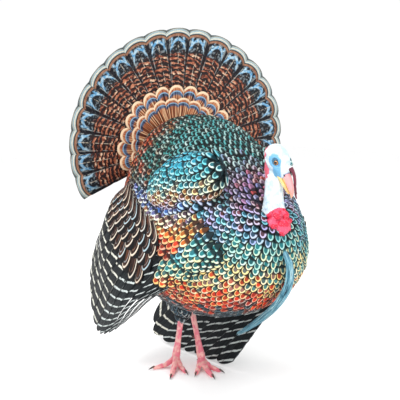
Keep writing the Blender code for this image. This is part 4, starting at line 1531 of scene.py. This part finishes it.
def rumpSpots():
    surface = ellipsoid(rump["at"], [r - 0.010 for r in rump["radii"]])
    rows = rowsOfFeathers(surface, *coat["rump"])
    keep = clearOf(rows["root"], 0.009, "trunk")
    return spotsFrom(rows, keep, 0.1, 0.9, "body", unwrapRound(rows, 0, 0.48), (2, 3), reach=2.9, lift=0.05)


def thighSpots(side):
    rows = rowsOfFeathers(tube(innerThigh(side)), *coat["thigh"])
    keep = clearOf(rows["root"], 0.010, "trunk")
    low = 0.50 if side == "left" else 0.75
    return spotsFrom(rows, keep, 0.1, 0.0, "down", unwrapRound(rows, low, low + 0.24), (3, 2), reach=2.5)


def makeCoat():
    body = trunkSpots()
    front = body["back"] < 0.12
    ahead = body["share"] < 0.33
    sets = {
        "coatBreast": pickSpots(body, front & ahead),
        "coatFlanks": pickSpots(body, front & ~ahead),
        "coatMantle": pickSpots(body, ~front),
        "coatShoulders": joinSpots(moundSpots("left"), moundSpots("right")),
        "coatWings": joinSpots(patchSpots("left"), patchSpots("right")),
        "coatRump": joinSpots(rumpSpots(), thighSpots("left"), thighSpots("right")),
    }
    made = []
    for index, (name, spots) in enumerate(sets.items()):
        made.append(layPiece(name, spots, bodyKit, "coat", coat["ruffle"], 3 + index))
    return made, joinSpots(*sets.values())


coats, allSpots = makeCoat()


def paintSkin():  # gives the skin the markings of the feathers that grow on it, and the bare parts their own
    mesh = skin.data
    mesh.shade_smooth()
    points = pointsOf(mesh)
    tree = nearTree(allSpots["root"])
    found = [tree.find(Vector(point)) for point in points]
    nearest, gap = [np.array([row[part] for row in found]) for part in (1, 2)]
    values = {key: allSpots[key][nearest] for key in ("root", "height", "share", "back", "tract", "seed")}
    values["tract"] = np.where(gap > skinCare["downGap"], tracts["down"], values["tract"])
    values.update({**legValues(points), **headValues(points), "knob": pointsOf(mesh, "knob")})
    bareLeg = values["leg"] * (points[:, 2] < skinCare["bareLeg"])
    values["coat"] = 1.0 - np.maximum(pointsOf(mesh, "bare") > 0.5, bareLeg)
    for key in [a.name for a in mesh.attributes if a.name in values or a.name == "bare"]:
        mesh.attributes.remove(mesh.attributes[key])
    addValues(mesh, values)
    mesh.materials.clear()
    mesh.materials.append(finishes["skin"])


paintSkin()
print("skin painted")


# Tail fan and its coverts

tail = {
    "at": (0.063, 0.110, 0.608),
    "lean": -3.0,  # degrees back
    "turn": 17.0,  # degrees to the right side
    "roll": 8.6,  # degrees tipped to the right
    "radius": 0.327,
    "halfSpread": 105.5,
    "feathers": 18,
    "cup": 0.026,
    "sideFall": 0.05,
}
tailCoverts = {
    "radius": 0.180,
    "halfSpread": 102.0,
    "feathers": 14,
    "behind": 15,  # feathers on the back of the fan
    "ahead": 0.0120,
    "aside": -0.011,
    "sideFall": 0.06,
}
tailPlace = (
    Matrix.Translation(tail["at"])
    @ Matrix.Rotation(math.radians(-tail["turn"]), 4, "Z")
    @ Matrix.Rotation(math.radians(-tail["lean"]), 4, "X")
    @ Matrix.Rotation(math.radians(-tail["roll"]), 4, "Y")
)
fineColumns = (-1, -0.86, -0.62, -0.36, -0.12, 0, 0.12, 0.36, 0.62, 0.86, 1)


def fanVane(radius, root, tipWidth, cup, blunt, picks, belly=0.0, rows=30):
    # a tail feather one unit long from root to tip: along +Y, its face +Z
    nicks = picks.random((rows, len(fineColumns)))

    def surface(a, v):
        out = root + (radius - root) * v * (1 - blunt * np.abs(a) ** 2.6)
        wide = tipWidth * (0.20 + 0.80 * (np.maximum(out, 0) / radius) ** 0.95)
        wide = wide * (1 - belly * smooth(v, 0.85, 1.0))
        edge = np.where(np.abs(a) > 0.98, 1 - 0.05 * nicks**4, 1)
        rise = cup * (out / tail["radius"]) ** 2 - 0.035 * tipWidth * (a**2) * 2
        return np.stack((0.5 * a * wide * edge, out, rise), -1)

    verts, faces, across, along = vane(surface, fineColumns, np.linspace(0, 1, rows), 0.0016, 0.0016)
    mesh = meshFrom("vane", verts, faces, {"across": across, "along": along, "span": along * (radius - root)})
    crisp(mesh)
    return mesh


def acrossFan(count):  # where each of count feathers stands, from -1 to 1
    return 2 * ((np.arange(count) + 0.5) / count) - 1


def fanSpots(angles, sizes, ahead, shingle, face=1.0, aside=0.0):
    # each vane stands at its angle round the tail's root; face -1 turns it to look back
    place = np.array(tailPlace)[:3, :3]
    angles, count = np.radians(angles), len(angles)
    out = np.stack((np.sin(angles), 0 * angles, np.cos(angles)), -1) @ place.T
    facing = np.tile(place @ np.array((0, -face, 0.0)), (count, 1))
    across = unit(np.cross(out, facing))
    lean = (np.radians(shingle) * np.sign(angles + 1e-9))[:, None]
    across, facing = (
        across * np.cos(lean) + facing * np.sin(lean),
        facing * np.cos(lean) - across * np.sin(lean),
    )
    forward = np.tile(place @ np.array((0, -1.0, 0)), (count, 1)) * np.asarray(ahead, float).reshape(-1, 1)
    return {
        "root": np.array(tail["at"]) + forward + place @ np.array((aside, 0, 0)),
        "turn": eulerRows(across, out, facing),
        "size": np.stack((np.ones(count), sizes, np.ones(count)), -1),
        "kind": np.arange(count) % 3,
        "seed": chance.random(count),
    }


def layFan(name, spots, kit, finish, ruffle, seed):  # each long feather has its own strip on the unwrap
    count = len(spots["root"])
    spots["unwrap"] = np.stack(((np.arange(count) + 0.5) / count, np.zeros(count), np.zeros(count)), -1)
    spots["wide"] = np.full(count, stripHalf / count)
    return layPiece(name, spots, kit, finish, ruffle, seed)


def makeTail():
    picks = np.random.default_rng(5)
    vanes = [fanVane(tail["radius"], 0.035, 0.0735, tail["cup"], 0.028, picks) for _ in range(3)]
    kit = vaneKit("tailVane", vanes)
    q = acrossFan(tail["feathers"])
    sizes, ahead = 1 - tail["sideFall"] * q**2, 0.0006 * (1 - 2 * np.abs(q))
    fan = layFan("tailFeathers", fanSpots(tail["halfSpread"] * q, sizes, ahead, 2.2), kit, "tail", 0.006, 2)
    radius, spread, count = tailCoverts["radius"], tailCoverts["halfSpread"], tailCoverts["feathers"]
    width = 2 * radius * math.radians(spread) / count * 1.16
    vanes = [fanVane(radius, 0.03, width, 0.020, 0.13, picks, 0.10, 22) for _ in range(3)]
    kit = vaneKit("covertVane", vanes)
    tiers = []
    for inner, scale, lift in ((0, 1.0, 0.0), (1, 0.80, 0.0045)):
        q = acrossFan(count - inner)
        sizes = scale * (1 - tailCoverts["sideFall"] * q**2) * (0.98 + 0.04 * chance.random(len(q)))
        ahead = tailCoverts["ahead"] - 0.001 + lift
        tiers.append(fanSpots((spread - 4 * inner) * q, sizes, ahead, 4.0, aside=tailCoverts["aside"]))
    q = acrossFan(tailCoverts["behind"])
    tiers.append(fanSpots(98 * q, 0.86 + 0.08 * chance.random(len(q)), -0.010, -4.0, -1.0))
    return fan, layFan("tailCovertFeathers", joinSpots(*tiers), kit, "covert", 0.012, 4)


tailFan, tailCover = makeTail()


# Flight feathers

flight = {
    "primaries": {"left": 6, "right": 7},
    "secondaries": {"left": 7, "right": 8},
    "share": 0.42,  # the share of the wing's edge that the primaries take
    "overlap": 1.30,
    "coverOverlap": 1.40,
    "shingle": 0.0019,
    "blunt": 0.050,
    "rise": 0.0178,  # how far they are lifted where they lie over the mound
    "sweep": 0.14,  # how far the outer ones' roots are gathered along the wing
}


def coverRise(k, s):  # how far the larger coverts are lifted by the mound that they lie over
    (kMiddle, kHalf), (sMiddle, _) = middleAndHalf(patch["along"]), middleAndHalf(patch["across"])
    a, away = np.clip(np.abs(k - kMiddle) / kHalf, 0, 1), s - sMiddle
    fall = np.where(away > 0, 1 - (away / 0.60) ** 2, 1 - np.abs(away / 0.40) ** 5)
    return (1 - a**7) * np.clip(fall, 0, 1)


def wingVane(wing, middle, half, low, high, lift, blunt, rows, picks):  # the vane and its length
    nicks = picks.random((rows, len(fineColumns)))
    gather = flight["sweep"] * smooth(middle, 0.0, 0.3)

    def surface(a, v):
        narrow = 0.55 + 0.45 * smooth(v, 0.0, 0.4)
        edge = np.where(np.abs(a) > 0.98, 1 - 0.10 * nicks**5, 1)
        k = np.minimum(middle + gather * (1 - v) + a * half * narrow * edge, 1.01)
        s = low + (high - low) * v * (1 - blunt * np.abs(a) ** 2.2)
        out = lift + flight["rise"] * coverRise(k, s) - flight["shingle"] * a - 0.0010 * a**2
        return wingSurface(wing, k, s, out)

    shape = vane(surface, fineColumns, np.linspace(0, 1, rows), 0.0012, 0.0014)
    if wing["side"] < 0:
        shape = (shape[0], [face[::-1] for face in shape[1]], shape[2], shape[3])
    middleLine = surface(np.zeros((rows, 1)), np.linspace(0, 1, rows)[:, None])[:, 5]
    return shape, float(np.linalg.norm(np.diff(middleLine, axis=0), axis=1).sum())


def alongWing(first, last, count, overlap):  # the middle of each vane along the wing, and half its width
    half = (last - first) / count / 2 * overlap
    return [(first + (index + 0.5) / count * (last - first), half) for index in range(count)]


coverTiers = (  # each row's start, end, lift, how many, how blunt, and the stretch of the wing that it covers
    (0.08, 0.40, 0.0024, 10, 0.14, 0.36, 0.99),
    (-0.04, 0.27, 0.0040, 10, 0.20, 0.40, 0.99),
    (-0.11, 0.16, 0.0054, 10, 0.22, 0.44, 0.99),
    (-0.16, 0.06, 0.0064, 9, 0.24, 0.50, 0.99),
)


def wingPiece(side, name, parts, finish):
    mesh = vaneMesh(f"wing{side.title()}{name}", parts)
    return objectFrom(mesh.name, mesh, finishes[finish])


def makeWing(side):
    wing, picks, made = wings[side], np.random.default_rng(9), {}
    split = flight["share"]
    groups = (("primaries", "primary", 0.0, split), ("secondaries", "secondary", split, 1.0))
    for name, finish, first, last in groups:
        parts = []
        for middle, half in alongWing(first, last, flight[name][side], flight["overlap"]):
            shape, length = wingVane(wing, middle, half, 0.0, 1.0, 0.0, flight["blunt"], 34, picks)
            parts.append((shape, chance.random(), length))
        made[name] = wingPiece(side, name.title(), parts, finish)
    parts = []
    for low, high, lift, count, blunt, first, last in coverTiers:
        for middle, half in alongWing(first, last, count, flight["coverOverlap"]):
            reach = high - 0.22 * (1 - middle) + 0.02 * chance.random()
            shape, length = wingVane(wing, middle, half, low, reach, lift, blunt, 14, picks)
            parts.append((shape, chance.random(), length))
    made["greater"] = wingPiece(side, "GreaterCoverts", parts, "greater")
    return made


wingPieces = {side: makeWing(side) for side in wings}
print("wings done")


# Eyes, bill, claws and beard

billUpper = (
    (0.030, 0.000, 0.0000, 0.0000),
    (0.031, 0.000, 0.0130, 0.0098),
    (0.046, 0.000, 0.0122, 0.0090),
    (0.063, -0.002, 0.0096, 0.0076),
    (0.078, -0.006, 0.0064, 0.0060),
    (0.089, -0.012, 0.0030, 0.0034),
    (0.0925, -0.0165, 0.0000, 0.0000),
)
billLower = (
    (0.030, -0.013, 0.0000, 0.0000),
    (0.031, -0.013, 0.0112, 0.0062),
    (0.050, -0.0137, 0.0098, 0.0052),
    (0.067, -0.0148, 0.0070, 0.0042),
    (0.079, -0.0155, 0.0038, 0.0026),
    (0.082, -0.0155, 0.0000, 0.0000),
)
nostril = {"along": 0.0415, "up": 0.0022, "long": 0.0036, "tall": 0.0017, "deep": 0.0022}


def nostrilGap(along, up):  # 1 on the nostril's rim
    return ((along - nostril["along"]) / nostril["long"]) ** 2 + ((up - nostril["up"]) / nostril["tall"]) ** 2


def billMesh(name, rows, upper):
    over, below = (1.15, 0.75) if upper else (0.7, 1.0)  # how sharp the ridge is above and below

    def surface(share, turn):
        row = curveAt(rows, share)
        wide, tall = np.maximum(row[..., 2], 0), np.maximum(row[..., 3], 0)
        cosine, sine = np.cos(turn), np.sin(turn)
        across = np.sign(cosine) * np.abs(cosine) ** 0.9 * wide
        up = row[..., 1] + np.where(sine > 0, np.abs(sine) ** over, -np.abs(sine) ** below) * tall
        if upper:
            across = across * (1 - nostril["deep"] / 0.010 * np.exp(-(nostrilGap(row[..., 0], up) ** 2)))
        return np.stack((across, row[..., 0], up), -1)

    mesh = loft(name, surface, 70, 48)
    points = pointsOf(mesh)
    # hole is 1 in the nostril's opening, which the bill's finish paints dark as painted shade
    hole = (1 - smooth(nostrilGap(points[:, 1], points[:, 2]), 0.5, 1.1)) * upper
    reach = (points[:, 1] - 0.030) / 0.052
    up = np.clip((points[:, 2] + reach * 0.012 + 0.008) / 0.016, 0, 1)
    if not upper:
        reach, up = reach + 0.30, 0.3 * up
    setPoints(mesh, moved(points, headPlace))
    addValues(mesh, {"reach": reach, "up": up, "hole": hole})
    mesh.shade_smooth()
    return objectFrom(name, mesh, finishes["bill"])


def eyeMesh(name, sign):
    shape = bmesh.new()
    bmesh.ops.create_uvsphere(shape, u_segments=40, v_segments=28, radius=1.0)
    mesh = bpy.data.meshes.new(name)
    shape.to_mesh(mesh)
    shape.free()
    points = pointsOf(mesh)
    slope = np.arccos(np.clip(points[:, 2], -1, 1))
    bulge = head["eyeRadius"] * (1 + 0.055 * np.exp(-((slope / 0.62) ** 2)))
    turned = np.stack((points[:, 2] * sign, points[:, 1], -points[:, 0] * sign), -1) * bulge[:, None]
    turned = turned @ np.array(Matrix.Rotation(math.radians(8 * sign), 3, "Z")).T
    angle = np.arctan2(points[:, 1], points[:, 0])
    setPoints(mesh, moved(turned + np.array(head["eye"]) * np.array((sign, 1, 1)), headPlace))
    rays = np.stack((np.cos(angle) * 1.6, np.sin(angle) * 1.6, slope * 0.5), -1)
    addValues(mesh, {"slope": slope, "rays": rays})
    mesh.shade_smooth()
    return objectFrom(name, mesh, finishes["eye"])


def clawMeshes():
    parts = []
    for side in legs:
        for toe in toes:
            ahead, aside, rows = toeLine(side, toe)
            tip, claw = np.array(rows[-1][:3]), []
            for share in np.linspace(-0.05, 1.0, 8):
                thick = 0.66 * rows[-1][3] * (1 - 0.92 * max(share, 0) ** 1.2)
                at = tip + ahead * (foot["clawLength"] * share - 0.004)
                lowest = foot["floor"] + thick + foot["clawClear"] * 0.5
                height = max(at[2] + 0.0022 - 0.006 * share**2, lowest)
                claw.append((at[0], at[1], height, thick * 0.82, thick))
            parts.append(loft("claw", tube(claw, aside, 0.03), 24, 16))
        hock, sole = legPoints(side)
        at = hock + (sole - hock) * spur["share"]
        back = unit(np.array((-legs[side]["side"] * 0.35, 0.90, 0.12)))
        rows = []
        for share in np.linspace(0.1, 1.0, 8):
            thick = spur["radius"] * (1 - share) ** 0.8
            bend = np.array((0, 0, 0.007 * share**2))
            rows.append((*(at + back * spur["length"] * share + bend), thick, thick))
        parts.append(loft("spur", tube(rows, rounding=0.02), 30, 16))
    mesh = joinMeshes("claws", parts)
    mesh.shade_smooth()
    return objectFrom("claws", mesh, finishes["claw"])


beard = {
    "path": (  # x, y, z, half width, half depth
        (0.000, -0.356, 0.402, 0.0050, 0.0045),
        (0.000, -0.374, 0.372, 0.0095, 0.0072),
        (-0.002, -0.374, 0.330, 0.0122, 0.0082),
        (-0.004, -0.349, 0.284, 0.0138, 0.0084),
        (-0.006, -0.306, 0.238, 0.0132, 0.0080),
        (-0.008, -0.254, 0.196, 0.0105, 0.0065),
        (-0.008, -0.210, 0.164, 0.0060, 0.0040),
    ),
    "bristles": 210,
    "points": 18,
    "thick": 0.00085,
}


def bristleTree():  # sweeps a round profile along every strand, as thick as the strand says
    t, given = startTree("sweepBristles", {"Thickness": ("Float", 0.001)})
    slim = t.node("GeometryNodeInputNamedAttribute", {"data_type": "FLOAT"}, {"Name": "slim"})
    curve = t.node("GeometryNodeMeshToCurve", None, {0: given["Geometry"]})
    ring = t.node("GeometryNodeCurvePrimitiveCircle", None, {"Resolution": 5, "Radius": 1.0})
    sweep = {"Curve": curve, "Profile Curve": ring, "Scale": slim * given["Thickness"], "Fill Caps": True}
    return endTree(t, t.node("GeometryNodeCurveToMesh", None, sweep), given["Finish"])


def makeBeard():
    strands, size = beard["bristles"], beard["points"]
    surface = tube(beard["path"], rounding=0.0001)
    start, end = 0.02 * chance.random(strands), 0.74 + 0.26 * chance.random(strands) ** 0.7
    share = start[:, None] + (end - start)[:, None] * np.linspace(0, 1, size)
    turn = 2 * math.pi * chance.random((strands, 1))
    turn = turn + 0.35 * np.sin(share * 9 + 9 * chance.random((strands, 1)))  # the strands twine a little
    depth = np.sqrt(chance.random((strands, 1)))
    core = curveAt(beard["path"], share)[..., :3]
    points = core + (surface(share, turn) - core) * depth[..., None]
    slim = (1 - 0.75 * np.linspace(0, 1, size) ** 1.5) * np.ones((strands, 1))
    edges = [(i * size + j, i * size + j + 1) for i in range(strands) for j in range(size - 1)]
    mesh = bpy.data.meshes.new("beardLines")
    mesh.from_pydata(points.reshape(-1, 3).tolist(), edges, [])
    along = np.tile(np.linspace(0, 1, size), strands)
    addValues(mesh, {"slim": slim.ravel(), "along": along, "seed": np.repeat(chance.random(strands), size)})
    inputs = {"Thickness": beard["thick"], "Finish": finishes["beard"]}
    made = runTree("beardBristles", objectFrom("beardLines", mesh), bristleTree(), inputs)
    made.shade_smooth()
    return objectFrom("beardBristles", made)


bills = [billMesh("billUpper", billUpper, True), billMesh("billLower", billLower, False)]
eyes = {"left": eyeMesh("eyeLeft", -1), "right": eyeMesh("eyeRight", 1)}
claws = clawMeshes()
bristles = makeBeard()
print("head pieces, claws and beard done")


# Every piece goes to its place on the imported model, and the nodes that it replaces are hidden

def place(piece, slot, *nodes):
    piece.data.transform(Matrix.Translation(shift))
    piece.data.update()
    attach(piece, "root")
    if nodes:
        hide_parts(*nodes)


both = ("left", "right")
flesh = ["trunk", "rump", "head", "neck", "caruncles", "snood"]
flesh += [f"wing_{side}_{part}" for side in both for part in ("coverts", "shoulder")]
legNodes = ["thigh", "shank"] + [f"toe_{toe}" for toe in toes]
flesh += [f"leg_{side}_{part}" for side in both for part in legNodes]
place(skin, "bare_skin", *flesh)
for piece in coats:
    place(piece, "body_feather")
place(tailFan, "tail_feather", "tail_fan")
place(tailCover, "tail_feather", "tail_coverts")
for side in both:
    place(wingPieces[side]["primaries"], "flight_feather", f"wing_{side}_primaries")
    place(wingPieces[side]["secondaries"], "flight_feather", f"wing_{side}_secondaries")
    place(wingPieces[side]["greater"], "flight_feather")
    place(eyes[side], "eye", f"eye_{side}")
for piece, node in zip(bills, ("bill_upper", "bill_lower")):
    place(piece, "bill_horn", node)
hard = [f"leg_{side}_claw_{toe}" for side in both for toe in toes] + [f"leg_{side}_spur" for side in both]
place(claws, "claw_horn", *hard)
place(bristles, "beard_bristle", "beard")
for kit in list(bpy.data.collections):  # the kits' own vanes aren't pieces
    if kit.name.endswith("Vane"):
        for made in list(kit.objects):
            bpy.data.objects.remove(made)
        bpy.data.collections.remove(kit)


# Floor, light and camera

studio = {
    "floor": 12.0,
    "azimuth": -40.0,
    "elevation": 9.0,
    "distance": 1.9,
    "lens": 61.56,
    "aside": 0.0361,
    "up": 0.4722,
    "world": 1.02,
    "lamps": {  # towards the camera, aside, up, power, size
        "key": (1.6, -1.3, 1.9, 42, 0.9),
        "fill": (1.8, 1.5, 0.8, 12, 1.4),
        "rim": (-1.5, -0.6, 2.1, 22, 1.0),
    },
}


def makeStudio():
    a, e = math.radians(studio["azimuth"]), math.radians(studio["elevation"])
    back = Vector((math.sin(a) * math.cos(e), -math.cos(a) * math.cos(e), math.sin(e)))
    aside = Vector((math.cos(a), math.sin(a), 0))
    up = back.cross(aside)
    target = shift + aside * studio["aside"] + up * studio["up"]
    eye = objectFrom("camera", bpy.data.cameras.new("camera"))
    eye.data.lens = studio["lens"]
    eye.location = target + back * studio["distance"]
    eye.rotation_euler = back.to_track_quat("Z", "Y").to_euler()
    bpy.context.scene.camera = eye
    half = studio["floor"] / 2
    corners = [(-half, -half, 0), (half, -half, 0), (half, half, 0), (-half, half, 0)]
    ground = meshFrom("floor", corners, [(0, 1, 2, 3)])
    pale = Finish("paleFloor")
    pale.surface(baseColor=(0.97, 0.97, 0.97, 1), roughness=0.8)
    objectFrom("floor", ground, pale.material)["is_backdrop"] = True
    world = bpy.data.worlds.new("studio")
    world.use_nodes = True
    sky = world.node_tree.nodes["Background"].inputs
    sky["Color"].default_value, sky["Strength"].default_value = (1, 1, 1, 1), studio["world"]
    bpy.context.scene.world = world
    for name, (near, beside, high, power, size) in studio["lamps"].items():
        lamp = bpy.data.lights.new(name, "AREA")
        lamp.energy, lamp.size = power, size
        made = objectFrom(name, lamp)
        made.location = back * near + aside * beside + Vector((0, 0, high))
        made.rotation_euler = (made.location - Vector((0, 0, 0.45))).to_track_quat("Z", "Y").to_euler()


makeStudio()
shown = [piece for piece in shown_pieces() if piece.type == "MESH" and not piece.hide_render]
print("triangles shown:", sum(len(p.vertices) - 2 for piece in shown for p in piece.data.polygons))
bpy.context.view_layer.update()
